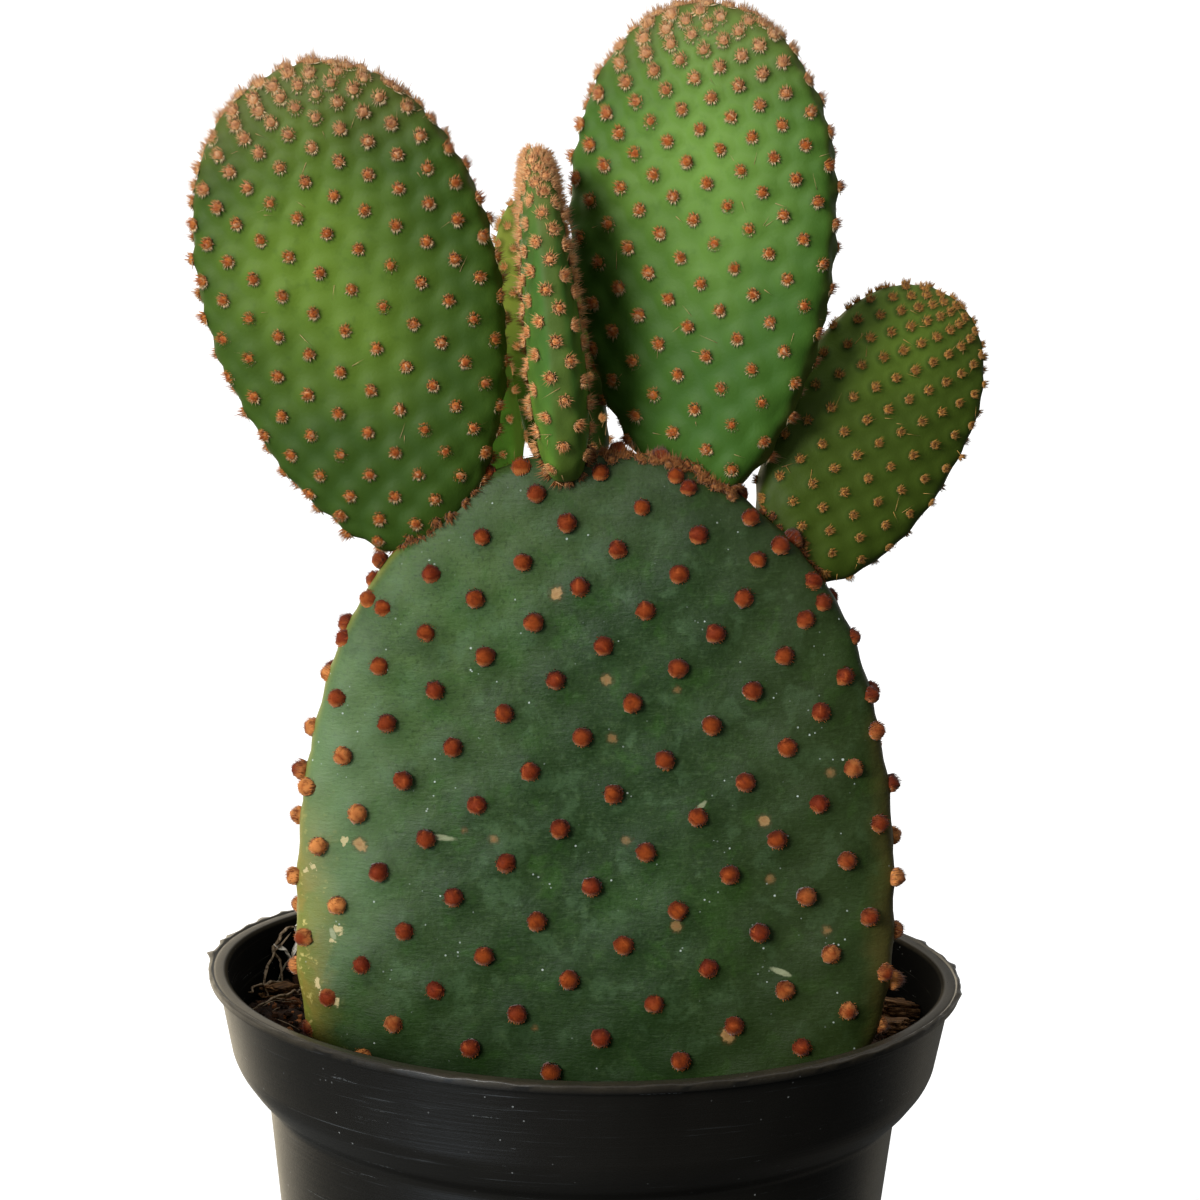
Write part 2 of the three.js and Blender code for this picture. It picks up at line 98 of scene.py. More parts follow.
class Wire:
    """A value in a material. Sums and products of wires and numbers add their Math nodes."""

    def __init__(self, finish, socket):
        self.finish, self.socket = finish, socket

    def math(self, operation, *values):
        return self.finish.node("Math", {"operation": operation}, dict(enumerate(values)))

    def __add__(self, other):
        return self.math("ADD", self, other)

    def __mul__(self, other):
        return self.math("MULTIPLY", self, other)

    def __sub__(self, other):
        return self.math("SUBTRACT", self, other)

    def __rsub__(self, other):
        return self.math("SUBTRACT", other, self)

    def __abs__(self):
        return self.math("ABSOLUTE", self)

    __radd__, __rmul__ = __add__, __mul__

    def rising(self, low, high):
        """0 below low and 1 above high, smooth between. It falls where low is above high."""
        ends = {"Value": self, "From Min": low, "From Max": high}
        if low > high:
            ends = {**ends, "From Min": high, "From Max": low, "To Min": 1, "To Max": 0}
        return self.finish.node("MapRange", {"interpolation_type": "SMOOTHSTEP"}, ends)

    def vector(self, operation, *others, out=0):
        sockets = dict(enumerate([self, *others]))
        return self.finish.node("VectorMath", {"operation": operation}, sockets, out)

    def stretched(self, *factors):
        return self.vector("MULTIPLY", factors)

    def distance(self, place):
        return self.vector("DISTANCE", place, out=1)

    def axis(self, number):
        return self.finish.node("SeparateXYZ", None, {0: self}, out=number)

    def noise(self, scale, detail=3, roughness=0.5, twist=0):
        sockets = {"Vector": self, "Scale": scale, "Detail": detail, "Roughness": roughness}
        return self.finish.node("TexNoise", None, {**sockets, "Distortion": twist})

    def cells(self, scale):
        return self.finish.node("TexVoronoi", None, {"Vector": self, "Scale": scale})


class Finish:
    """A material of this object, made from nodes"""

    def __init__(self, name, **constants):
        self.material = bpy.data.materials.new(name)
        self.material.use_nodes = True
        self.tree = self.material.node_tree
        self.shader = self.tree.nodes["Principled BSDF"]
        for socket, value in constants.items():
            self.shader.inputs[socket.replace("_", " ")].default_value = value

    def node(self, kind, settings=None, inputs=None, out=0):
        made = self.tree.nodes.new("ShaderNode" + kind)
        for key, value in (settings or {}).items():
            if key == "stops":
                self.set_stops(made.color_ramp.elements, value)
            else:
                setattr(made, key, value)
        for key, value in (inputs or {}).items():
            if isinstance(value, Wire):
                self.tree.links.new(value.socket, made.inputs[key])
            else:
                made.inputs[key].default_value = value
        return Wire(self, made.outputs[out])

    @staticmethod
    def set_stops(elements, stops):
        while len(elements) < len(stops):
            elements.new(1)
        for element, (position, colour) in zip(elements, stops):
            element.position, element.color = position, ink(colour)

    def feed(self, **wires):
        for socket, wire in wires.items():
            self.tree.links.new(wire.socket, self.shader.inputs[socket.replace("_", " ")])

    def place(self, x=1, y=1, z=1):
        """Millimetres in the row frame, multiplied by a stretch along each axis"""
        return self.node("TexCoord", out="Object").stretched(1000 * x, 1000 * y, 1000 * z)

    def mark(self, name, kind="Fac"):
        """What the mesh keeps under that name: a number, or a vector where the kind is Vector"""
        return self.node("Attribute", {"attribute_name": name}, out=kind)

    def own_place(self, x=1, y=1, z=1):
        """Millimetres in the piece's own frame, multiplied by a stretch along each axis"""
        return self.mark("place", "Vector").stretched(x, y, z)

    def layered(self, below, *layers):
        """A colour with others laid over it in turn, each by its share"""
        settings = {"data_type": "RGBA", "clamp_factor": True}
        for share, above in layers:
            below, above = (ink(c) if isinstance(c, str) else c for c in (below, above))
            below = self.node("Mix", settings, {0: share, 6: below, 7: above}, out=2)
        return below

    def relief(self, *layers):
        """Bumps over each other. Each height runs from 0 to 1 over its depth in millimetres."""
        sockets = {"Strength": 1}
        for height, depth in layers:
            sockets = {**sockets, "Height": height, "Distance": depth * MM}
            sockets["Normal"] = self.node("Bump", None, sockets)
        self.feed(Normal=sockets["Normal"])

    def dulled(self, share, colour):
        """Mixes in, by that share, a surface of that colour that hardly shines"""
        sockets = {"Base Color": colour, "Roughness": 0.9, "Specular IOR Level": 0.04}
        plain = self.node("BsdfPrincipled", None, sockets)
        own = Wire(self, self.shader.outputs[0])
        both = self.node("MixShader", None, {0: share, 1: own, 2: plain})
        self.tree.links.new(both.socket, self.tree.nodes["Material Output"].inputs["Surface"])


def new_piece(name, points, faces, finish, slot, stands_for=(), smooth=True, **marks):
    """A closed mesh from points in millimetres and face arrays, riding on the one body"""
    mesh = bpy.data.meshes.new(name)
    faces = [np.asarray(part, np.int32) for part in faces if len(part)]
    corners = np.concatenate([part.ravel() for part in faces])
    sizes = np.concatenate([np.full(len(part), part.shape[1]) for part in faces])
    mesh.vertices.add(len(points))
    mesh.vertices.foreach_set("co", (np.asarray(points) * MM).astype(np.float32).ravel())
    mesh.loops.add(len(corners))
    mesh.loops.foreach_set("vertex_index", corners)
    mesh.polygons.add(len(sizes))
    starts = np.concatenate([[0], np.cumsum(sizes)[:-1]]).astype(np.int32)
    mesh.polygons.foreach_set("loop_start", starts)
    mesh.polygons.foreach_set("use_smooth", np.full(len(sizes), smooth))
    for mark, values in marks.items():
        flat = np.asarray(values, np.float32)
        kind, field = ("FLOAT", "value") if flat.ndim == 1 else ("FLOAT_VECTOR", "vector")
        mesh.attributes.new(mark, kind, "POINT").data.foreach_set(field, flat.ravel())
    mesh.update(calc_edges=True)
    mesh.materials.append(finish.material)
    made = bpy.data.objects.new(name, mesh)
    bpy.context.scene.collection.objects.link(made)
    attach(made, "root")
    if stands_for:
        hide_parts(*stands_for)
    return made


def rounded(corners, steps=3):
    """The line through the corners, each one rounded by its own length"""
    line = []
    for i, (r, z, cut) in enumerate(corners):
        here = np.array([r, z], float)
        if i in (0, len(corners) - 1) or not cut:
            line.append(here)
            continue
        before, after = (np.array(corners[i + way][:2], float) for way in (-1, 1))
        start, end = (here + cut * (p - here) / np.linalg.norm(p - here) for p in (before, after))
        for t in np.linspace(0, 1, steps + 1):
            line.append((1 - t) ** 2 * start + 2 * t * (1 - t) * here + t ** 2 * end)
    return np.array(line)


def closed_rings(rings):
    """The points and faces of rings of points, one after another, closed at both ends"""
    count, sides = rings.shape[:2]
    grid = np.arange(count * sides).reshape(count, sides)
    after = np.roll(grid, -1, axis=1)
    quads = np.stack([grid[:-1], after[:-1], after[1:], grid[1:]], -1).reshape(-1, 4)
    first = np.stack([np.full(sides, count * sides), after[0], grid[0]], -1)
    last = np.stack([np.full(sides, count * sides + 1), grid[-1], after[-1]], -1)
    points = np.concatenate([rings.reshape(-1, 3), rings[[0, -1]].mean(1)])
    return points, [quads, np.concatenate([first, last])]


def circle(angle):
    """Points at those angles on a circle of radius 1 round the Z axis"""
    return np.stack([np.cos(angle), np.sin(angle), 0 * angle], 1)


def turned(line, sides):
    """A closed line turned round the Z axis, from pole to pole"""
    ring = circle(np.arange(sides) * 2 * np.pi / sides)
    return closed_rings(np.array([ring * r + (0, 0, z) for r, z in line]))


def waves(points, length, seed):
    """Smooth random heights, about -1 to 1, with that wavelength"""
    random, count = np.random.default_rng(seed), 20
    lines = random.normal(size=(count, 3))
    pace = (2 * np.pi / length) * random.uniform(0.6, 1.6, (count, 1))
    lines *= pace / np.linalg.norm(lines, axis=1)[:, None]
    phases = random.uniform(0, 2 * np.pi, count)
    return np.sin(np.asarray(points) @ lines.T + phases).sum(1) / math.sqrt(count)


def flash_reach(angle):
    """How far the flash stands out of the lip at each angle"""
    edge = LIP_OUTSIDE * circle(angle)
    reach = 0.05 + 0.05 * waves(edge, 3.1, 5)
    for middle, width, length in FLASH:
        off = (np.degrees(angle) - middle + 180) % 360 - 180
        torn = 1 + 0.5 * waves(edge, 0.9, int(middle) % 97)
        reach += length * np.exp(-(off / width) ** 2) * torn
    return reach


def sprung(points):
    """The points raised as the soft collar has sprung: least at the front and back"""
    share = np.interp(points[:, 2], [60, 86, 92, 104], [0, 1, 1, 0.5])
    across = points[:, 0] / LIP_OUTSIDE
    rise = RIM_RISE[0] + RIM_RISE[1] * across ** 2 + RIM_RISE[2] * np.minimum(across, 0) ** 2
    return points + np.outer(share * rise, [0, 0, 1])


gloss_plastic = Finish("gloss_black_plastic", Specular_IOR_Level=0.32)
on_pot = gloss_plastic.place()
streaks = gloss_plastic.place(0.03, 0.03, 2.2).noise(1, 5, 0.65)
scuffs = gloss_plastic.place(0.06, 0.06, 1.3).noise(1, 4, 0.6, 0.6)
clouds = on_pot.noise(0.06, 3, 0.55)
grit = on_pot.noise(1.6, 3, 0.7)
lip_mark, inside_mark = gloss_plastic.mark("lip"), gloss_plastic.mark("inside")
fine_scratch = streaks.rising(0.6, 0.68) * clouds.rising(0.42, 0.6)
long_scuff = scuffs.rising(0.67, 0.72) * grit.rising(0.42, 0.58)
speck = on_pot.cells(0.42).rising(0.08, 0.04) * clouds.rising(0.45, 0.65)
lip_dust = lip_mark * (clouds + grit * 0.5).rising(0.6, 1.0)
inside_dust = inside_mark * streaks.rising(0.58, 0.72)
black = gloss_plastic.layered(
    "#13110e",
    # The pot's inside is darkened here with painted shade, over the dust that lies there.
    (clouds, "#1d1b17"), (inside_mark * 0.9, "#080806"),
    (fine_scratch * 0.26, "#74787a"), (long_scuff * 0.28, "#a4a8a8"),
    (lip_mark * 0.25 + lip_dust * 0.35, "#4a4234"), (inside_dust * 0.18, "#463d2e"),
    (speck * 0.7, "#b7b8b4"),
)
gloss_plastic.feed(Base_Color=black, Roughness=clouds * 0.12 + grit * 0.12 + inside_mark * 0.25 + 0.2)
gloss_plastic.relief((streaks, 0.05), (grit, 0.02), (long_scuff, 0.03))
gloss_plastic.dulled(inside_mark, black)

pot_line = rounded(POT_PROFILE)
pot_points, pot_faces = turned(pot_line, POT_SIDES)
radius = np.hypot(pot_points[:, 0], pot_points[:, 1])
around = np.arctan2(pot_points[:, 1], pot_points[:, 0])
height = pot_points[:, 2]
edge = (radius > LIP_OUTSIDE - FLASH_ROOT) & (height > LIP_TOP - 1)
push = np.where(edge, flash_reach(around) * (radius - LIP_OUTSIDE + FLASH_ROOT) / FLASH_ROOT, 0)
pot_points[:, :2] *= (1 + push / np.maximum(radius, 1))[:, None]
height += np.where(edge, 0.12 * waves(pot_points, 5, 8), 0)
wall_sway = 0.12 * waves(pot_points * (1, 1, 0.2), 60, 3) * np.clip(height / 40, 0, 1)
pot_points[:, :2] *= (1 + wall_sway / np.maximum(radius, 1))[:, None]
inside = (np.arange(len(pot_line)) > pot_line[:, 1].argmax()) & (pot_line[:, 0] < INSIDE_TO)
pot = new_piece(
    "nursery_pot", sprung(pot_points), pot_faces, gloss_plastic, "pot_plastic", ["pot"],
    lip=(height > LIP_TOP - 0.5) & (radius > LIP_FROM),
    inside=np.append(np.repeat(inside, POT_SIDES), [False, True]),
)


def cut_drain_notches():
    """Small notches through the pot's foot, cut by one mesh of boxes"""
    count, width, height, inner, outer = DRAIN_NOTCHES
    corners = np.array([(x, y, z) for x in (inner, outer)
                        for y in (-width / 2, width / 2) for z in (-height, height)])
    sides = np.array([(0, 1, 3, 2), (4, 6, 7, 5), (0, 4, 5, 1), (2, 3, 7, 6), (0, 2, 6, 4), (1, 5, 7, 3)])
    points, faces = [], []
    for i in range(count):
        turn = (i + 0.5) * 2 * np.pi / count
        c, s = np.cos(turn), np.sin(turn)
        points.append(corners @ np.array([[c, s, 0], [-s, c, 0], [0, 0, 1]]))
        faces.append(sides + 8 * i)
    cutter = new_piece("cutter", np.concatenate(points), faces, gloss_plastic, "pot_plastic")
    trim = pot.modifiers.new("notches", "BOOLEAN")
    trim.operation, trim.solver, trim.object = "DIFFERENCE", "EXACT", cutter
    cut = bpy.data.meshes.new_from_object(pot.evaluated_get(bpy.context.evaluated_depsgraph_get()))
    pot.modifiers.clear()
    pot.data = cut
    bpy.data.objects.remove(cutter)


cut_drain_notches()


# Potting soil: dark bark compost, pressed into the pot to about 9 mm under the lip. It is
# crumbly, with loose orange-brown granules, and has sunk along the old pad's foot.

SOIL_LEVEL = 95
SOIL_EDGE = 54.9
SOIL_WALL = [(38, 2.35), (38.7, 2.35), (48.4, 84.5), (51.1, 86.5), (53.4, 89.3), (54.3, 91.3)]
SOIL_RINGS, SOIL_SIDES = 62, 220
STEM = (1.5, -13.5)
IN_FRONT = -16  # the narrow strip in front of the old pad lies lower, and has only fine crumbs
HOLLOW = {"depth": 4.5, "length": 36, "width": 14}
CLODS = [(0.55, 7, 21), (0.4, 3.2, 22), (0.22, 1.5, 23)]  # height, wavelength and seed of the lumps
CRUMB_KINDS = [(800, 2, 0.5, 1.9), (4200, 1, 0.25, 0.8)]  # how many, detail, least and greatest size
GRANULES = (-44.5, 1, 9)  # where the orange-brown granules lie: x, y and radius
BANK = (-46, 5, 13, 2.2)  # where the soil is heaped at the left: x, y, radius and height
PAPERY = 0.3  # strands thinner than this are papery scraps, and the others roots
STRANDS = [  # width, thickness and path of each dried root and papery scrap
    (0.65, 0.45, [(-47.3, 27, 104.6), (-49.7, 25.5, 104.4), (-50.9, 23, 102.8), (-51.2, 21, 101.4),
                  (-50.2, 20, 99.6), (-49.5, 18, 96.5)]),
    (0.5, 0.35, [(-49, 26.4, 103.4), (-51.6, 19, 101), (-52.3, 12, 98.4), (-50.4, 9.6, 95.4)]),
    (2.4, 0.25, [(-48.4, 25, 96.6), (-49, 24.4, 99.4), (-49.8, 23.2, 101.2), (-51, 21.4, 102.4)]),
    (2.2, 0.25, [(-48.8, 24.4, 98.4), (-48.3, 24.6, 101), (-47.6, 24.6, 103)]),
    (1.9, 0.25, [(-50.8, 21.4, 96), (-50, 22.6, 98.2), (-49, 24, 99.8)]),
    (2.6, 0.25, [(-48.4, 27.4, 104.4), (-47.2, 28.6, 103.4), (-46.2, 29, 101.6)]),
    (0.7, 0.45, [(-54, -2, 97.4), (-51, 1, 98.7), (-47.5, 6, 98.8), (-46, 11, 98)]),
    (0.7, 0.45, [(-48, 20, 96), (-50.5, 15, 98), (-53.3, 9, 99), (-54, 4, 99.2)]),
]
FIBRES, FIBRE_REACH = 340, 51


def soil_height(x, y):
    """The soil's top: uneven, with a long hollow along the stem's foot"""
    across, back = (x - STEM[0]) / HOLLOW["length"], (y - STEM[1]) / HOLLOW["width"]
    hollow = HOLLOW["depth"] * np.exp(-across ** 4 - back ** 2)
    swells = 0.8 * np.sin(0.21 * x + 0.4) * np.cos(0.17 * y)
    ripples = 0.6 * np.sin(0.13 * x - 0.24 * y + 1.1) + 0.4 * np.sin(0.47 * x + 0.31 * y)
    bank = BANK[3] * np.exp(-((x - BANK[0]) ** 2 + (y - BANK[1]) ** 2) / BANK[2] ** 2)
    return SOIL_LEVEL - hollow + swells + ripples + bank


compost = Finish("crumbly_compost", Specular_IOR_Level=0.2)
lumps = compost.place().noise(0.9, 5, 0.7)
fibres = compost.place(1, 0.35, 1).noise(1.7, 3, 0.6, 1.5)
granule = compost.mark("granule")
stops = [(0.3, "#150d08"), (0.52, "#2d1b0f"), (0.75, "#553621")]
earth = compost.layered(
    compost.node("ValToRGB", {"stops": stops}, {0: lumps}),
    (fibres.rising(0.6, 0.75) * 0.4, "#5f4026"),
    (granule.rising(0.5, 1.0), "#a5663a"), (granule.rising(0.2, 0.05) * 0.7, "#0a0604"),
)
compost.feed(Base_Color=earth, Roughness=lumps * 0.3 + 0.7)
compost.relief((lumps, 0.5), (fibres, 0.2))

rings = np.concatenate([np.linspace(1.5, SOIL_EDGE - 0.9, SOIL_RINGS), [SOIL_EDGE]])
soil_line = [*SOIL_WALL, *[(r, SOIL_LEVEL) for r in rings[::-1]]]
soil_points, soil_faces = turned(np.array(soil_line), SOIL_SIDES)
x, y, z = soil_points.T
clods = sum(height * waves(soil_points, length, seed) for height, length, seed in CLODS)
level = soil_height(x, y) - 0.8 * (y < IN_FRONT) + clods - 0.4
soil_points[:, 2] = np.where(z > SOIL_LEVEL - 0.01, level, sprung(soil_points)[:, 2])


def unit(vectors):
    """The same directions, each with a length of 1"""
    return vectors / np.linalg.norm(vectors, axis=-1)[..., None]


def lattice_ball(count):
    """Even directions over a sphere, from a cube's faces with count squares to an edge"""
    u, v = np.meshgrid(np.arange(count + 1), np.arange(count + 1), indexing="ij")
    sheets = [np.roll(np.stack([np.full_like(u, side), u, v], -1), axis, axis=-1)
              for axis in range(3) for side in (0, count)]
    corners, index = np.unique(np.reshape(sheets, (-1, 3)), axis=0, return_inverse=True)
    quads = []
    for number, sheet in enumerate(index.reshape(6, count + 1, count + 1)):
        ring = [sheet[:-1, :-1], sheet[1:, :-1], sheet[1:, 1:], sheet[:-1, 1:]]
        quads.append(np.stack(ring if number % 2 else ring[::-1], -1).reshape(-1, 4))
    return unit(np.tan((corners / count * 2 - 1) * np.pi / 4)), np.concatenate(quads)


def gathered(parts):
    """Many closed meshes as one: their points, and their quads and triangles"""
    starts = np.cumsum([0] + [len(points) for points, _ in parts])
    shifted = [[face + start for face in faces] for (_, faces), start in zip(parts, starts)]
    points = np.concatenate([points for points, _ in parts])
    return points, [np.concatenate(kind) for kind in zip(*shifted)]


def soil_crumbs(count, detail, least, most, seed):
    """Loose crumbs over the soil: angular little clods, most of them small"""
    random = np.random.default_rng(seed)
    ball, quads = lattice_ball(detail)
    away = (SOIL_EDGE - most) * np.sqrt(random.uniform(0.01, 1, count))
    turn = random.uniform(0, 2 * np.pi, count)
    size = least + (most - least) * random.uniform(0, 1, count) ** 3
    x, y = away * np.cos(turn), away * np.sin(turn)
    in_front = y < IN_FRONT
    size = np.where(in_front, np.minimum(size, 0.7), size)
    z = soil_height(x, y) + 0.1 * size + random.uniform(-0.4, 0.5, count) * ~in_front - 0.5 * in_front
    shape = ball[None] * (1 + 0.28 * random.normal(size=(count, len(ball), 1)))
    stretch = random.uniform(0.6, 1.25, (count, 1, 3)) * size[:, None, None]
    points = shape * stretch + np.stack([x, y, z], 1)[:, None]
    faces = quads[None] + (np.arange(count) * len(ball))[:, None, None]
    patch = np.exp(-((x - GRANULES[0]) ** 2 + (y - GRANULES[1]) ** 2) / GRANULES[2] ** 2)
    tint = np.clip(random.uniform(0, 0.62, count) + patch * random.uniform(0, 0.75, count), 0, 1)
    return points.reshape(-1, 3), [faces.reshape(-1, 4)], np.repeat(tint, len(ball))


def strap(path, width, thick, turn=0.0, sides=6, steps=4):
    """A flat strip along a smooth path, pointed at both ends"""
    path = np.asarray(path, float)
    at = np.linspace(0, len(path) - 1, steps * (len(path) - 1) + 1)
    low = np.clip(at.astype(int), 0, len(path) - 2)
    t = (at - low)[:, None]
    slopes = np.gradient(path, axis=0)
    line = ((1 + 2 * t) * (1 - t) ** 2 * path[low] + t * (1 - t) ** 2 * slopes[low]
            + t * t * (3 - 2 * t) * path[low + 1] + t * t * (t - 1) * slopes[low + 1])
    along = unit(np.gradient(line, axis=0))
    first = unit(np.cross(along, (math.sin(turn), 0.2, math.cos(turn))))
    second = np.cross(along, first)
    angle = np.arange(sides)[:, None] * 2 * np.pi / sides
    taper = np.sqrt(np.clip(np.sin(np.pi * np.linspace(0.02, 0.98, len(line))), 0, 1))[:, None, None]
    rings = first[:, None] * np.cos(angle) * width / 2 + second[:, None] * np.sin(angle) * thick / 2
    return closed_rings(line[:, None] + rings * taper)


def soil_fibres():
    """Short root hairs and splinters that lie over the soil"""
    random = np.random.default_rng(77)
    made = []
    while len(made) < FIBRES:
        x, y = random.uniform(-FIBRE_REACH - 1, FIBRE_REACH + 1, 2)
        if math.hypot(x, y) > FIBRE_REACH or y < IN_FRONT:
            continue
        turn, long, bend = random.uniform(0, 7), random.uniform(1.5, 6), random.normal(0, 0.8, 2)
        path = []
        for f in (-0.5, 0, 0.5):
            a = x + long * f * math.cos(turn) - bend[0] * f * f
            b = y + long * f * math.sin(turn)
            path.append((a, b, float(soil_height(a, b)) + 0.4 + abs(bend[1]) * 0.4))
        made.append(strap(path, random.uniform(0.16, 0.45), 0.14, sides=4, steps=2))
    return gathered(made)


new_piece(
    "potting_soil", soil_points, soil_faces, compost, "potting_soil", ["soil"],
    granule=np.full(len(soil_points), 0.3),
)
for number, (name, kind) in enumerate(zip(("soil_clods", "soil_crumbs"), CRUMB_KINDS)):
    points, faces, tint = soil_crumbs(*kind, 31 + number)
    new_piece(name, points, faces, compost, "potting_soil", smooth=False, granule=tint)

dry_root = Finish("dried_root", Specular_IOR_Level=0.25)
peel = dry_root.place(1, 1, 0.5).noise(1.1, 4, 0.65)
root_brown = dry_root.layered(
    "#4a3824",
    (peel.rising(0.35, 0.6), "#a08a70"), (peel.rising(0.3, 0.5) * dry_root.mark("papery"), "#f4ecdc"),
)
dry_root.feed(Base_Color=root_brown, Roughness=peel * 0.3 + 0.6)
dry_root.relief((peel, 0.3))

strands = [strap(path, width, thick, turn=0.4 * i) for i, (width, thick, path) in enumerate(STRANDS)]
points, faces = gathered(strands)
papery = [np.full(len(own), thick < PAPERY) for (own, _), (_, thick, _) in zip(strands, STRANDS)]
points += 0.22 * np.stack([waves(points, 2.4, seed) for seed in (91, 92, 93)], 1)
new_piece("dried_strands", points, faces, dry_root, "bark", papery=np.concatenate(papery))
points, faces = soil_fibres()
new_piece("soil_fibres", points, faces, dry_root, "bark", papery=np.zeros(len(points)))


# Bark chips: three splinters of composted conifer bark that lie on the soil. Each is a stack of
# thin corky layers, split along the grain.

CHIPS = {  # turn and tilt in degrees, length, width and height of each chip
    "bark_chip_1": (30, 12, 8.5, 6, 2.6), "bark_chip_2": (-35, -10, 6.5, 5, 2.2),
    "bark_chip_3": (65, 8, 7, 4.2, 2),
}
LAYERS = 4

corky_bark = Finish("corky_bark", Specular_IOR_Level=0.2)
grain = corky_bark.own_place(0.25, 2.2, 2.6).noise(1, 4, 0.65, 0.3)
specks = corky_bark.own_place().noise(1.5, 4, 0.7)
stops = [(0.35, "#2f1d10"), (0.5, "#74502e"), (0.7, "#b48658")]
brown = corky_bark.layered(
    corky_bark.node("ValToRGB", {"stops": stops}, {0: grain}), (specks.rising(0.56, 0.72) * 0.5, "#ab7644"))
corky_bark.feed(Base_Color=brown, Roughness=grain * 0.3 + 0.62)
corky_bark.relief((grain, 0.5), (specks, 0.2))


def bark_layer(length, width, height, seed):
    """One thin splinter, ragged at its ends and ridged along its grain"""
    ball, quads = lattice_ball(8)
    box = 0.88 * ball / np.abs(ball).max(1)[:, None] + 0.12 * ball
    points = box * (length / 2, width / 2, height / 2)
    points[:, 2] += 0.16 * height * waves(box * (0.5, 6, 0), 3, seed)
    points[:, 0] += 0.07 * length * waves(box * (0, 4, 1), 2, seed + 1) * np.abs(box[:, 0])
    points[:, 1] += 0.06 * width * waves(box * (3, 0, 0), 2.5, seed + 2)
    return points, quads


for number, (node, (turn, tilt, length, width, height)) in enumerate(CHIPS.items()):
    random = np.random.default_rng(300 + number)
    layers = []
    for i in range(LAYERS):
        points, quads = bark_layer(length, width, height / LAYERS * 1.2, 10 * number + i)
        points *= (random.uniform(0.75, 1), random.uniform(0.75, 1), 1)
        points += (*random.normal(0, 0.4, 2), height * ((i + 0.5) / LAYERS - 0.5))
        swing, roll = random.normal(0, 0.09), random.normal(0, 0.03)
        skew = np.array(Matrix.Rotation(swing, 3, "Z") @ Matrix.Rotation(roll, 3, "X"))
        layers.append((points @ skew.T, [quads]))
    own, faces = gathered(layers)
    low, high = np.array(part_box(node)) / MM
    turned_over = Matrix.Rotation(math.radians(turn), 3, "Z") @ Matrix.Rotation(math.radians(tilt), 3, "Y")
    points = own @ np.array(turned_over).T + (low + high) / 2
    new_piece(f"layered_{node}", points, faces, corky_bark, "bark", [node], place=own)


# Old pad: a flat, waxy, blue-green stem segment standing in the soil on its buried foot. Each
# areole carries a velvety cushion of short rust-red bristles, set by the plant's own spiral.

GOLDEN_TURN = 137.50776 / 360
RIM_POWER = 0.3
FOOT_SWELL = 0.2


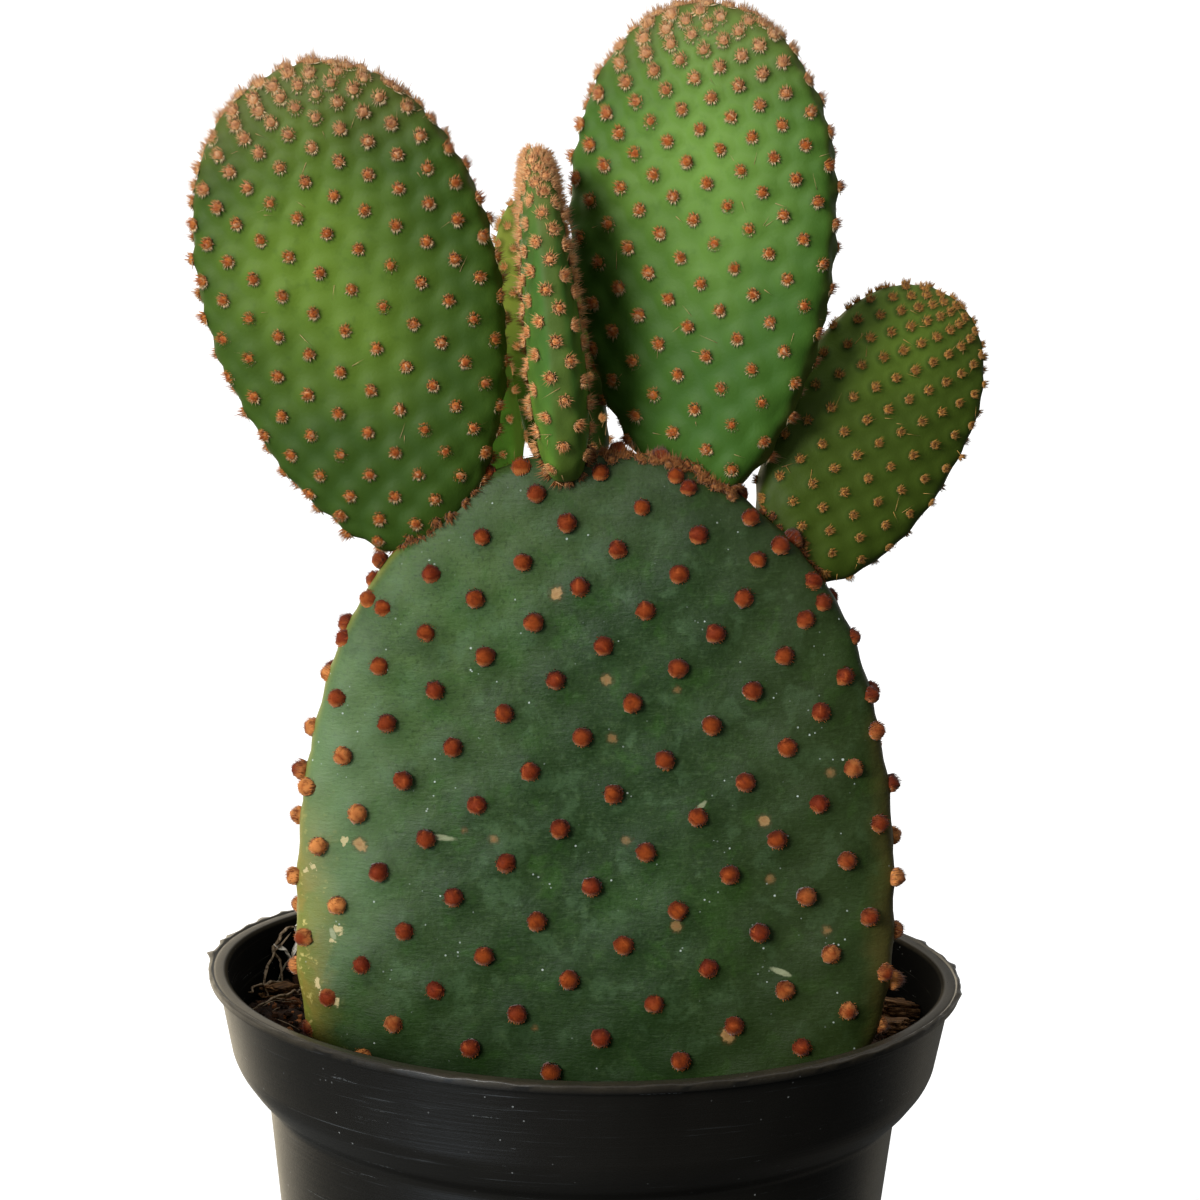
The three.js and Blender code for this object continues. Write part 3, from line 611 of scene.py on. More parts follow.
class Pad:
    """One stem segment, in its own frame: X its width, Y through it to the back, Z foot to tip"""

    def __init__(self, centre, tilt, lean, yaw, half_width, above, below, squareness,
                 half_thickness, parent="pad_base", **areoles):
        self.centre = np.array(centre, float)
        self.half_width, self.above, self.below = half_width, above, below
        self.squareness, self.half_thickness = squareness, half_thickness
        self.areoles, self.parent = areoles, parent
        angles = zip((-tilt, lean, yaw), "YXZ")
        tilt, lean, yaw = (Matrix.Rotation(math.radians(angle), 3, axis) for angle, axis in angles)
        self.turn = np.array(tilt @ lean @ yaw)

    def reach(self, z):
        return np.where(z > 0, self.above, self.below)

    def power(self, z):
        return np.where(z > 0, *self.squareness)

    def world(self, points):
        return self.centre + points @ self.turn.T

    def own(self, points):
        return (points - self.centre) @ self.turn

    def fraction(self, x, z, grown=0):
        power = self.power(z)
        across = np.abs(x / (self.half_width + grown)) ** power
        return (across + np.abs(z / (self.reach(z) + grown)) ** power) ** (1 / power)

    def half_width_at(self, z):
        power = self.power(z)
        left = np.maximum(0, 1 - np.abs(z / self.reach(z)) ** power)
        return self.half_width * left ** (1 / power)

    def thickness_at(self, x, z, grown=0):
        fraction = np.minimum(1, self.fraction(x, z, grown))
        middle = self.half_thickness * (1 - FOOT_SWELL * z / self.reach(z)) + grown
        return middle * (1 - fraction ** 2) ** RIM_POWER

    def holds(self, points, grown):
        x, y, z = self.own(points).T
        return (self.fraction(x, z, grown) <= 1) & (np.abs(y) < self.thickness_at(x, z, grown))

    def skin(self, directions):
        x, y, z = directions.T
        flat = np.maximum(np.hypot(x, z), 1e-9)
        power = 2 / self.power(z)
        across = np.sign(x) * self.half_width * np.abs(x / flat) ** power * flat
        along = np.sign(z) * self.reach(z) * np.abs(z / flat) ** power * flat
        middle = self.half_thickness * (1 - FOOT_SWELL * along / self.reach(z))
        return np.stack([across, np.sign(y) * middle * np.abs(y) ** (2 * RIM_POWER), along], 1)

    def direction(self, points):
        """The directions whose skin points these are"""
        x, y, z = points.T
        fraction = np.clip(self.fraction(x, z), 1e-9, 1)
        power = self.power(z) / 2
        parts = [fraction * np.sign(a) * (np.abs(a / r) / fraction) ** power
                 for a, r in ((x, self.half_width), (z, self.reach(z)))]
        return unit(np.stack([parts[0], np.sign(y) * np.sqrt(1 - fraction ** 2), parts[1]], 1))

    def uneven(self, directions):
        """Directions of an even lattice moved so that it is even over the skin"""
        polar = (np.pi / 2) * (1 - (1 - np.linspace(0, 1, 3000)) ** 3)
        across = self.half_width * np.sin(polar)
        down = self.half_thickness * (1 - np.cos(polar) ** (2 * RIM_POWER))
        travelled = (across + down) / (across[-1] + down[-1]) * np.pi / 2
        x, y, z = directions.T
        found = np.interp(np.arccos(np.clip(np.abs(y), 0, 1)), travelled, polar)
        scale = np.sin(found) / np.maximum(np.hypot(x, z), 1e-9)
        return np.stack([x * scale, np.sign(y) * np.cos(found), z * scale], 1)

    def normals(self, directions):
        """The skin's outward normals, by small steps over the sphere"""
        spare = np.where(np.abs(directions[:, 1:2]) < 0.9, (0, 1, 0), (1, 0, 0))
        first = unit(np.cross(spare, directions))
        slopes = []
        for side in (first, np.cross(directions, first)):
            ends = [self.skin(unit(directions + step * side)) for step in (0.02, -0.02)]
            slopes.append(ends[0] - ends[1])
        return unit(np.cross(*slopes))

    def section_point(self, z, turn):
        """The point that far round the section: 0 to 0.5 runs over the front, left to right"""
        front = turn < 0.5
        centred = 4 * (turn if front else 1 - turn) - 1
        spread = self.areoles["spread"]
        wanted = (centred * (1 - spread) + spread * centred ** 3 + 1) / 2
        x = -self.half_width_at(z) * np.cos(np.linspace(0, np.pi, 33))
        y = np.array([0, *self.thickness_at(x[1:-1], np.full(31, z)), 0])
        travelled = np.concatenate([[0], np.cumsum(np.hypot(np.diff(x), np.diff(y)))])
        at = wanted * travelled[-1]
        found = np.interp(at, travelled, y)
        return [np.interp(at, travelled, x), -found if front else found, z]

    def seats(self):
        """One spiral up the stem, a golden turn from each areole to the next"""
        steps = 1500
        heights = -self.below + (self.above + self.below) * (0.003 + 0.994 * np.arange(steps + 1) / steps)
        share = heights / self.reach(heights)
        girth = 4 * self.half_width_at(heights) + 3.2 * self.thickness_at(0 * heights, heights)
        a, b = self.areoles["crowding"]
        near_tip = np.clip((share - 0.6) / 0.4, 0, 1)
        crowd = 1 + self.areoles["tip"] * near_tip ** 2
        density = girth * crowd / (self.areoles["area"] * np.exp(-a * share - b * share ** 2))
        rises = (density[1:] + density[:-1]) / 2 * np.diff(heights)
        counts = np.concatenate([[0], np.cumsum(rises)])
        middle = counts[np.argmax(heights >= 0)]
        numbers = np.arange(math.ceil(-middle), counts[-1] - middle)
        found = np.interp(numbers + middle, counts, heights)
        turns = (self.areoles["turn"] + self.areoles["hand"] * numbers * GOLDEN_TURN) % 1
        return np.array([self.section_point(z, turn) for z, turn in zip(found, turns)])

    def rim_seats(self, taken):
        """The areoles along the narrow edge, which crowd towards the tip"""
        rim = self.areoles["rim"]
        turns = np.radians(np.linspace(-rim["half_turn"], rim["half_turn"], 600))
        line = self.skin(round_rim(turns, 0 * turns))
        pitch = rim["pitch"] * (1 + rim["opening"] * (turns / turns[-1]) ** 2)[1:]
        counts = np.concatenate([[0], np.cumsum(np.linalg.norm(np.diff(line, axis=0), axis=1) / pitch)])
        numbers = np.arange(int(counts[-1]))
        side = rim["sway"] * np.sin(numbers * 2 * np.pi * GOLDEN_TURN)
        found = self.skin(round_rim(np.interp(numbers + 0.5, counts, turns), side))
        extra = np.array(self.areoles.get("extra", np.zeros((0, 2))))
        front = np.stack([extra[:, 0], -self.thickness_at(*extra.T), extra[:, 1]], 1)
        kept = list(taken)
        for seat, room in [(seat, EDGE_ROOM) for seat in front] + [(seat, rim["clear"]) for seat in found]:
            if np.linalg.norm(np.array(kept) - seat, axis=1).min() > room:
                kept.append(seat)
        return np.array(kept)


def round_rim(turn, side):
    """Directions that far round a pad's outline from its tip, and that far off it to the back"""
    return np.stack([np.sin(turn) * np.cos(side), np.sin(side), np.cos(turn) * np.cos(side)], 1)


EDGE_ROOM = 2.6  # how far the tufts seen on the old pad's edge stay from each other
TUFT_SUNK = 1.6  # how deep a tuft may be in the soil
OLD_EDGE_SEATS = [  # across and up, where the photograph shows tufts along the old pad's edge
    (-29, 57.3), (-20, 64.4), (-17.3, 67.2), (-12.4, 68.6), (-7.8, 67.6), (11, 68), (14.8, 68.1),
    (17.6, 67.6), (20.6, 65.8), (27.1, 57.6), (31.4, 54.2), (33.8, 48.9), (37.7, 44.4), (41.5, 34.4),
    (44.7, 21.1), (44.8, 14.2), (46.5, 3.8), (46.5, -11.4), (-33.6, 53.5), (-35.3, 47.9),
    (-38.6, 43.6), (-41.3, 35.8), (-43.5, 28.8), (-45.4, 20.5), (-46.2, 12.5), (-46.3, 5.3),
]
YOUNG_RIM = {"half_turn": 62, "pitch": 1.5, "opening": 3.2, "clear": 1.2, "sway": 0.08}
PADS = {  # centre, three turns in degrees, half width, heights over and under it, squareness, half thickness
    "pad_base": Pad(
        (1.5, -13.5, 119.6), 0, 0, 0, 46.6, 71.2, 53, (2.15, 2.2), 8, parent=None, extra=OLD_EDGE_SEATS,
        area=92, crowding=(0.09, 0.5), turn=0.449, hand=-1, spread=-0.22, tip=0,
        rim={"half_turn": 104, "pitch": 7.2, "opening": 0, "clear": 4.4, "sway": 0.004}),
    "pad_left": Pad(
        (-38.2, -13, 218), 15, 0, -8, 22.6, 31.1, 44.3, (2, 1.8), 4.8,
        area=28.5, crowding=(0.25, 0.78), turn=0.081, hand=1, spread=-0.23, tip=1.6, rim=YOUNG_RIM),
    "pad_left_back": Pad(
        (-24.1, -2.6, 206.2), 24, -14, -25, 9.4, 15.8, 25.6, (2, 2), 3.6,
        area=19, crowding=(0.5, 0.5), turn=0.2, hand=1, spread=0, tip=0.5,
        rim={"half_turn": 70, "pitch": 1.7, "opening": 2, "clear": 1.27, "sway": 0.04}),
    "pad_mid": Pad(
        (-6.4, -16.6, 207.5), 6.5, 0, -86, 13, 29.7, 21, (2, 1.7), 4.1,
        area=26, crowding=(0.5, 0.4), turn=0.4, hand=-1, spread=-0.3, tip=3.2,
        rim={"half_turn": 80, "pitch": 1.55, "opening": 2.2, "clear": 2.1, "sway": 0.16}),
    "pad_mid_back": Pad(
        (-7.5, 2.8, 206.7), 13, -24, 0, 7.6, 23, 28, (2, 2), 3.4,
        area=18, crowding=(0.5, 0.6), turn=0.65, hand=1, spread=0, tip=0.5,
        rim={"half_turn": 70, "pitch": 1.6, "opening": 2, "clear": 1.2, "sway": 0.04}),
    "pad_right": Pad(
        (15.9, -9, 228.8), 0.9, -3, -20, 20.8, 29.5, 45.8, (2.05, 1.8), 5,
        area=26, crowding=(0.45, 0.32), turn=0.693, hand=1, spread=-0.06, tip=1.6, rim=YOUNG_RIM),
    "pad_far_right": Pad(
        (44.3, -2.2, 196.1), -29.8, -16, 6, 14.4, 21.5, 29, (2.1, 2.1), 4.3,
        area=17.5, crowding=(0.45, 0.66), turn=0.628, hand=-1, spread=0.04, tip=1.6, rim=YOUNG_RIM),
}


def framed(points, normal, size):
    """Seats for tufts: each has the skin's normal, the way down over the skin, and a size"""
    down = unit(np.cross(normal, np.cross([0.01, 0, -1], normal)))
    return {"at": points, "normal": normal, "down": down, "side": np.cross(normal, down), "size": size}


def bearing_seats(name, tuft_room, tip_size):
    """The seats that are clear of the soil and of the other pads, with their frames and sizes"""
    pad = PADS[name]
    seats = pad.rim_seats(pad.seats())
    world = pad.world(seats)
    clear = world[:, 2] > soil_height(world[:, 0], world[:, 1]) + tuft_room - TUFT_SUNK
    for other in PADS.values():
        if other is not pad:
            clear &= ~other.holds(world, tuft_room)
    seats = seats[clear]
    size = 1 + (tip_size - 1) * np.clip((seats[:, 2] / pad.reach(seats[:, 2]) - 0.4) / 0.6, 0, 1)
    size *= 1 + 0.1 * np.sin(2.4 * np.arange(len(seats)))
    return framed(seats, pad.normals(pad.direction(seats)), size)


def pad_skin(name, seats, squares, mound, finish, slot):
    """The pad's skin with a low mound under each tuft, closed where it meets its parent"""
    pad = PADS[name]
    lattice, quads = lattice_ball(squares)
    directions = pad.uneven(lattice)
    points = pad.skin(directions)
    normals = pad.normals(directions)
    near = np.zeros(len(points))
    for seat, size in zip(seats["at"], seats["size"]):
        off = np.linalg.norm(points - seat, axis=1)
        near = np.maximum(near, size * np.exp(-(off / mound["width"]) ** 2))
    swell = mound["sway"] * waves(points, mound["sway_length"], 41)
    moved = points + normals * (mound["height"] * near + swell)[:, None]
    if pad.parent:
        moved = seated(pad, moved)
    new_piece(
        name + "_skin", pad.world(moved), [quads], finish, slot, [name], place=moved, near=near,
        facing=normals,
    )


def seated(pad, points, depth=0.5):
    """The points that lie in the parent moved up the pad's own axis to just under its skin"""
    parent = PADS[pad.parent]
    inside = parent.holds(pad.world(points), -depth)
    low, high = np.zeros(len(points)), np.full(len(points), 40.0)
    for _ in range(18):
        middle = (low + high) / 2
        held = parent.holds(pad.world(points + np.outer(middle, [0, 0, 1])), -depth)
        low, high = np.where(held, middle, low), np.where(held, high, middle)
    return points + np.outer(np.where(inside, high, 0), [0, 0, 1])


def velvet_core(seats, style, random):
    """The soft dome in the middle of each tuft: points, the quads of one dome, and marks"""
    count = len(seats["at"])
    ball, quads = lattice_ball(style["core"])
    ragged = 1 + 0.08 * random.normal(size=(count, len(ball), 1))
    local = ball * (style["radius"], style["radius"], style["height"]) * ragged * seats["size"][:, None, None]
    local[..., 2] = np.maximum(local[..., 2], -0.5)
    x, y, z = ball.T
    marks = {"along": 0.3 * (z > -0.2), "low": x * 0.5 + 0.5, "outer": np.hypot(x, y), "pale": 0 * x}
    marks = {mark: np.tile(values, (count, 1)) for mark, values in marks.items()}
    marks["strand"] = random.uniform(0, 1, (count, len(ball)))
    return local, quads, marks


def bristle_roots_and_tips(seats, style, random):
    """Where each stiff bristle starts and ends, in a tuft's own frame: down, sideways, outward"""
    count, bristles, skirt = len(seats["at"]), style["bristles"], style["skirt"]
    spot = (np.arange(bristles) + 0.5) / bristles
    away = np.sqrt(spot)[None] * np.ones((count, 1))
    turn = np.arange(bristles) * 2 * np.pi * GOLDEN_TURN + random.uniform(0, 7, (count, 1))
    flat = np.stack([np.cos(turn), np.sin(turn)], -1) * away[..., None]
    root = np.concatenate([flat * style["root"], np.full((count, bristles, 1), -0.1)], -1)
    reach = style["length"] * (1 - style["fall"] * away ** 2) * random.normal(1, style["ragged"], away.shape)
    tip = flat * (style["root"] + style["spread"] * style["length"])
    tip += random.normal(0, style["stray"], tip.shape)
    if style["flames"]:
        flames = style["flames"]
        way = (np.arange(flames) + random.uniform(0, 0.5, (count, flames))) * 2 * np.pi / flames
        way += random.uniform(0, 7, (count, 1))
        out = style["flame_spread"] * random.uniform(0.5, 1.2, (count, flames))
        ends = np.stack([np.cos(way) * out, np.sin(way) * out], -1)
        tall = random.uniform(0.75, 1.2, (count, flames))
        nearest = np.linalg.norm(ends[:, None] - tip[:, :, None], axis=-1).argmin(-1)
        row = np.arange(count)[:, None]
        tip = tip * (1 - style["gather"]) + ends[row, nearest] * style["gather"]
        reach = reach * tall[row, nearest]
    tip[..., 0] -= style["upward"] * reach
    tip = np.concatenate([tip, reach[..., None]], -1)

    way = random.uniform(-style["skirt_turn"], style["skirt_turn"], (count, skirt))
    rim = np.stack([np.cos(way), np.sin(way)], -1)
    skirt_root = np.concatenate([rim * 0.85 * style["root"], np.full((count, skirt, 1), 0.2)], -1)
    hang = style["skirt_length"] * random.uniform(0.5, 1.1, (count, skirt, 1))
    skirt_tip = skirt_root + np.concatenate([rim * hang + (0.3, 0) * hang, 0.4 * hang - 0.1], -1)
    root, tip = np.concatenate([root, skirt_root], 1), np.concatenate([tip, skirt_tip], 1)
    outer = np.concatenate([away, np.full((count, skirt), 1.0)], 1)
    low = np.concatenate([flat[..., 0], rim[..., 0]], 1) * 0.5 + 0.5
    pale = np.concatenate([0 * away, np.ones((count, skirt))], 1)
    marks = {"outer": outer, "low": low, "pale": pale, "strand": random.uniform(0, 1, outer.shape)}
    return root, tip, marks


def spikes(root, tip, width):
    """A three-sided spike from each root to its tip: the corners and the faces"""
    aim = unit(tip - root)
    across = unit(np.cross(aim, [0.3, 0.5, 0.1]))
    other = np.cross(aim, across)
    corners = [root + width * (math.cos(a) * across + math.sin(a) * other) for a in (0, 2.094, 4.189)]
    return np.stack([*corners, tip], -2), np.array([(0, 1, 3), (1, 2, 3), (2, 0, 3), (0, 2, 1)])


def pad_tufts(name, seats, style, finish, slot, seed, piece="tufts"):
    """Every tuft of one pad: a soft core and the short stiff bristles that stand round it"""
    random = np.random.default_rng(seed)
    pad, count = PADS[name], len(seats["at"])
    frames = np.stack([seats["down"], seats["side"], seats["normal"]], 1)
    foot = seats["at"] + seats["normal"] * style["lift"]
    core, quads, core_marks = velvet_core(seats, style, random)
    root, tip, marks = bristle_roots_and_tips(seats, style, random)
    size = seats["size"][:, None, None]
    bristles, spike = spikes(root * size, tip * size, style["width"])
    local = np.concatenate([core, bristles.reshape(count, -1, 3)], 1)
    points = (foot[:, None] + np.einsum("nvi,nij->nvj", local, frames)).reshape(-1, 3)
    starts = (local.shape[1] * np.arange(count))[:, None, None]
    spike_starts = starts + core.shape[1] + 4 * np.arange(root.shape[1])[:, None]
    faces = [(quads + starts).reshape(-1, 4), (spike + spike_starts[..., None]).reshape(-1, 3)]
    marks = {mark: np.repeat(values, 4, axis=1) for mark, values in marks.items()}
    marks["along"] = np.tile([0, 0, 0, 1.0], (count, root.shape[1]))
    joined = {mark: np.concatenate([own, marks[mark]], 1).ravel() for mark, own in core_marks.items()}
    tint = np.repeat(random.uniform(0, 1, count), local.shape[1])
    new_piece(f"{name}_{piece}", pad.world(points), faces, finish, slot, place=points, tint=tint, **joined)


SCARS = [  # across, up and radius of the old pad's cream ring scars, seen from the front
    (1.3, 37, 1.0), (2.1, 28, 0.9), (11.9, 35.6, 0.8), (25.8, 15.5, 1.1), (12.6, -1.1, 1.0),
    (20.9, -18.6, 1.3), (-36.5, 10.1, 1.2), (-6.9, 50, 1.2), (-15.8, 12, 0.8), (4.7, 12, 0.8),
    (26.9, 6.1, 0.8), (35.8, 23, 0.8), (-20.5, 13, 0.6), (36, -2, 0.8), (-9, -18, 0.6),
]
SCABS = [  # across, up and radius of the cream scabs low on its left edge
    (-39, 10.6, 0.5), (-39.9, -3.4, 0.7), (-40.7, -5.2, 0.5), (-41.8, -13.9, 0.6), (-40, -14.7, 0.7),
    (-45.1, 5.2, 0.4), (-43.7, 6.1, 0.4), (-42.9, -12.4, 0.5),
]
SCRATCHES = [  # two ends of each pale scratch
    ((13.9, 15.5), (16.9, 18.6)), ((27.2, -7.9), (30.8, -9.2)), ((-41, -3.2), (-40.2, -5.4)),
    ((-41.8, -13.4), (-40, -15)), ((-27, 12.2), (-21.5, 11.6)),
]

waxy_skin = Finish("waxy_blue_green_skin", Specular_IOR_Level=0.3)
on_pad = waxy_skin.own_place()
across, through, up = (on_pad.axis(i) for i in range(3))
front = through.rising(1.5, -1.5)
facing = waxy_skin.mark("facing", "Vector").axis(1)
clouds, blotches = on_pad.noise(0.03, 3, 0.5, 0.3), on_pad.noise(0.13, 4, 0.6)
pores, mottle = on_pad.noise(1.9, 3, 0.6), on_pad.noise(0.55, 4, 0.65)
fresh, patches = on_pad.noise(0.07, 2), on_pad.noise(0.21, 3, 0.55, 0.3)
wrinkles = on_pad.stretched(0.5, 1, 2.2).noise(1.1, 4, 0.65, 0.4)
# Waxy bloom: partly real bloom in patches, partly a painted sheen that grows towards the lit upper left.
bloom_and_sheen = (clouds * 0.5 + across * -0.008 + up * 0.004).rising(0.3, 0.72)
bluish_sheen = (across + clouds * 16 + mottle * 6).rising(-16, -38) * (up + clouds * 20).rising(-8, 16)
left_rim = facing.rising(-0.8, -0.25) * across.rising(-12, -28)
sunned = (across + blotches * 14).rising(-31, -41) * (up + clouds * 20).rising(34, 6)
green = waxy_skin.layered(
    "#1f3618",
    (clouds, "#2a4422"), (bloom_and_sheen * 0.75, "#587548"),
    (blotches.rising(0.5, 0.72) * 0.3, "#446244"), (blotches.rising(0.46, 0.3) * 0.45, "#13280d"),
    (fresh.rising(0.56, 0.72) * 0.45, "#345c24"),
    (patches.rising(0.54, 0.68) * 0.4, "#35601f"), (patches.rising(0.47, 0.33) * 0.35, "#56765e"),
    (mottle.rising(0.52, 0.72) * 0.16, "#66825c"),
    (wrinkles.rising(0.52, 0.75) * 0.2, "#6f8f72"), (wrinkles.rising(0.48, 0.25) * 0.35, "#12260e"),
    (pores.rising(0.55, 0.75) * 0.1, "#77936c"), (pores.rising(0.48, 0.3) * 0.4, "#0f220b"),
    # Darker round each tuft: painted shade.
    (waxy_skin.mark("near") * 0.45, "#16330f"),
    # Darker towards the foot: painted shade.
    ((up + blotches * 30).rising(14, -14) * 0.55, "#162d0b"),
    # The pale bluish layer is a painted sheen on the lit left side.
    (bluish_sheen * 0.45, "#86a58a"), (left_rim * 0.6, "#8c9048"),
    # Darker towards the right, away from the light: painted shade.
    ((across + blotches * 14).rising(12, 44) * 0.5, "#2f3a1a"),
    ((across + blotches * 8).rising(44, 51) * 0.5, "#6a5830"),
    ((up + clouds * 10).rising(56, 72) * 0.4, "#2b3a20"),
    (sunned * 0.7, "#8a8a3e"), (sunned * blotches.rising(0.44, 0.6) * 0.6, "#b08a48"),
    (sunned * mottle.rising(0.6, 0.68) * 0.75, "#dccc94"),
)
green = green.stretched(1, 0.96, 0.64)
flat = on_pad.stretched(1, 0, 1)
for x, z, wide in SCARS:
    size = 0.82 * wide
    off = flat.distance((x, 0, z)) + mottle * 1.6 + pores * 0.7 - 1.15
    green = waxy_skin.layered(
        green,
        (off.rising(size * 1.7, size) * front * 0.45, "#4c3a18"),
        (off.rising(size * 1.15, size * 0.7) * front * min(0.75, 0.8 * size ** 3), "#be925c"),
        (off.rising(size * 0.6, size * 0.2) * front * 0.45, "#96683a"),
    )
for x, z, size in SCABS:
    off = flat.distance((x, 0, z)) + mottle * 3 + pores * 1.2 - 2.1
    green = waxy_skin.layered(green, (off.rising(size * 1.3, size * 0.8) * front * 0.75, "#dcc690"))
for (x0, z0), (x1, z1) in SCRATCHES:
    length, turn = math.hypot(x1 - x0, z1 - z0), math.atan2(z1 - z0, x1 - x0)
    moved = on_pad.vector("ADD", (-(x0 + x1) / 2, 0, -(z0 + z1) / 2))
    line = waxy_skin.node("VectorRotate", {"rotation_type": "Y_AXIS"}, {"Vector": moved, "Angle": turn})
    off = line.stretched(2 / length, 0, 2).vector("LENGTH", out=1) + pores * 0.6 - 0.3
    green = waxy_skin.layered(green, (off.rising(1.1, 0.6) * front * 0.7, "#a9ad86"))
dots = on_pad.cells(0.8).rising(0.16, 0.08) * on_pad.noise(0.17, 3, 0.6).rising(0.56, 0.64)
dots = dots + on_pad.cells(0.24).rising(0.06, 0.035) * mottle.rising(0.5, 0.56)
green = waxy_skin.layered(green, (dots * 0.75, "#d2dcd2"))
waxy_skin.feed(Base_Color=green, Roughness=clouds * 0.2 + pores * 0.15 + 0.36 + dots * 0.2)
waxy_skin.relief((wrinkles, 0.1), (mottle, 0.14))

rust_velvet = Finish("rust_red_velvet", Specular_IOR_Level=0.15, Sheen_Weight=0.2, Sheen_Roughness=0.4)
low, tint, outer, pale, strand = map(rust_velvet.mark, ("low", "tint", "outer", "pale", "strand"))
on_pad = rust_velvet.own_place()
across, up = on_pad.axis(0), on_pad.axis(2)
worn = abs(across) - across * 0.05 + tint * 18 - up * 0.2
worn = (worn + across.rising(-33, -41) * up.rising(20, 4) * 14).rising(40, 54)
worn = worn * (tint * 0.6 + outer * 0.5).rising(0.35, 0.75)
rust = rust_velvet.layered(
    "#7a2a0a",
    (tint, "#904012"), ((outer - low * 0.9).rising(0.1, 0.8) * 0.65, "#471606"),
    ((outer * 0.6 + low).rising(1.05, 1.5) * 0.85, "#d07f40"), (worn * (0.1 + strand * 0.85), "#eea058"),
    (strand.rising(0.65, 1) * 0.4, "#cc6630"), (strand.rising(0.45, 0) * 0.5, "#4c1204"),
    (pale * 0.7, "#e6cfa8"),
)
rust_velvet.feed(Base_Color=rust, Roughness=tint * 0.2 + 0.7)

# The sizes of a tuft. Its tips lean out by spread and up the pad by upward, and the outer ones fall
# shorter. Flames are the points that the bristles gather to, and the skirt is a pale fringe below.
OLD_TUFT = {
    "core": 3, "radius": 1.42, "height": 1.6, "lift": 0.3, "bristles": 104, "length": 2.05, "width": 0.12,
    "root": 1.4, "spread": 0.08, "fall": 0.6, "ragged": 0.1, "stray": 0.08, "upward": 0.1,
    "flames": 0, "skirt": 12, "skirt_turn": 1.2, "skirt_length": 0.22,
}
OLD_MOUND = {"height": 0.5, "width": 3.2, "sway": 0.35, "sway_length": 34}

old_seats = bearing_seats("pad_base", 1.0, 1.0)
pad_skin("pad_base", old_seats, 70, OLD_MOUND, waxy_skin, "old_pad")
pad_tufts("pad_base", old_seats, OLD_TUFT, rust_velvet, "old_pad", 51)


# Young pads: six of this year's segments, thin, fresh green and bumpy, each joined to the old
# pad's top by a narrow neck. Their tufts are peach and orange, with stiff cream bristles.

YOUNG_MOUND = {"height": 0.85, "width": 2.2, "sway": 0.2, "sway_length": 19}
YOUNG_TUFT = {
    "core": 2, "radius": 0.8, "height": 0.85, "lift": 0.5, "bristles": 70, "length": 1.6, "width": 0.09,
    "root": 0.86, "spread": 0.28, "fall": 0.5, "ragged": 0.25, "stray": 0.14, "upward": 0.25,
    "flames": 5, "flame_spread": 1.1, "gather": 0.25, "skirt": 22, "skirt_turn": 1.5, "skirt_length": 0.72,
}
SMALL_MOUND = {"height": 0.3, "width": 1.7, "sway": 0.14, "sway_length": 14}
SMALL_TUFT = {
    "core": 2, "radius": 0.45, "height": 0.35, "lift": 0.2, "bristles": 50, "length": 1.0, "width": 0.065,
    "root": 0.5, "spread": 0.45, "fall": 0.1, "ragged": 0.2, "stray": 0.14, "upward": 0.15,
    "flames": 7, "flame_spread": 0.85, "gather": 0.35, "skirt": 12, "skirt_turn": 3.1, "skirt_length": 0.4,
}
FUZZY_TUFT = {
    "core": 2, "radius": 0.6, "height": 0.5, "lift": 0.15, "bristles": 74, "length": 1.3, "width": 0.08,
    "root": 0.85, "spread": 0.4, "fall": 0.4, "ragged": 0.35, "stray": 0.28, "upward": 0.15,
    "flames": 4, "flame_spread": 0.9, "gather": 0.1, "skirt": 14, "skirt_turn": 3.1, "skirt_length": 0.45,
}
YOUNG_PADS = {  # squares, mound, tuft, its size at the tip, strength of its painted glow, centre of its painted pool of light; greens, rusts
    "pad_left": (
        54, YOUNG_MOUND, YOUNG_TUFT, 1.22, 0, (-3, 0),
        ("#344e15", "#688428"), ("#983c0c", "#d4863c", "#ead2a4")),
    "pad_left_back": (
        36, SMALL_MOUND, SMALL_TUFT, 0.9, 0.3, (4, -16),
        ("#3e681c", "#629030"), ("#a85420", "#e2a668", "#dcc08c")),
    "pad_mid": (
        40, SMALL_MOUND, FUZZY_TUFT, 1.0, 0, (-6, -8),
        ("#446a2c", "#6f9430"), ("#cc6c26", "#f6b674", "#f6ca94")),
    "pad_mid_back": (
        36, SMALL_MOUND, SMALL_TUFT, 0.9, 0.3, (-4, 14),
        ("#4c7424", "#a8b84a"), ("#c47030", "#f4c07c", "#f4d090")),
    "pad_right": (
        54, YOUNG_MOUND, YOUNG_TUFT, 1.22, 0, (2, 5),
        ("#3c601e", "#6d923a"), ("#983c0c", "#d4863c", "#ead2a4")),
    "pad_far_right": (
        44, SMALL_MOUND, SMALL_TUFT, 1.0, 0, (-12, 16),
        ("#3c4d12", "#647e2b"), ("#4a240c", "#e6a44c", "#e0ac60")),
}
LOOSE_HAIRS = 70
CRUST_EDGE = (-1.5, 24, 30, 0.16)  # from and to, in degrees round the old pad's outline, count and sway
CRUST_TUFT = {
    "core": 2, "radius": 0.55, "height": 0.6, "lift": 0.1, "bristles": 46, "length": 1.3, "width": 0.09,
    "root": 0.75, "spread": 0.5, "fall": 0.1, "ragged": 0.3, "stray": 0.25, "upward": 0.1,
    "flames": 4, "flame_spread": 1.0, "gather": 0.3, "skirt": 6, "skirt_turn": 1.3, "skirt_length": 0.6,
}


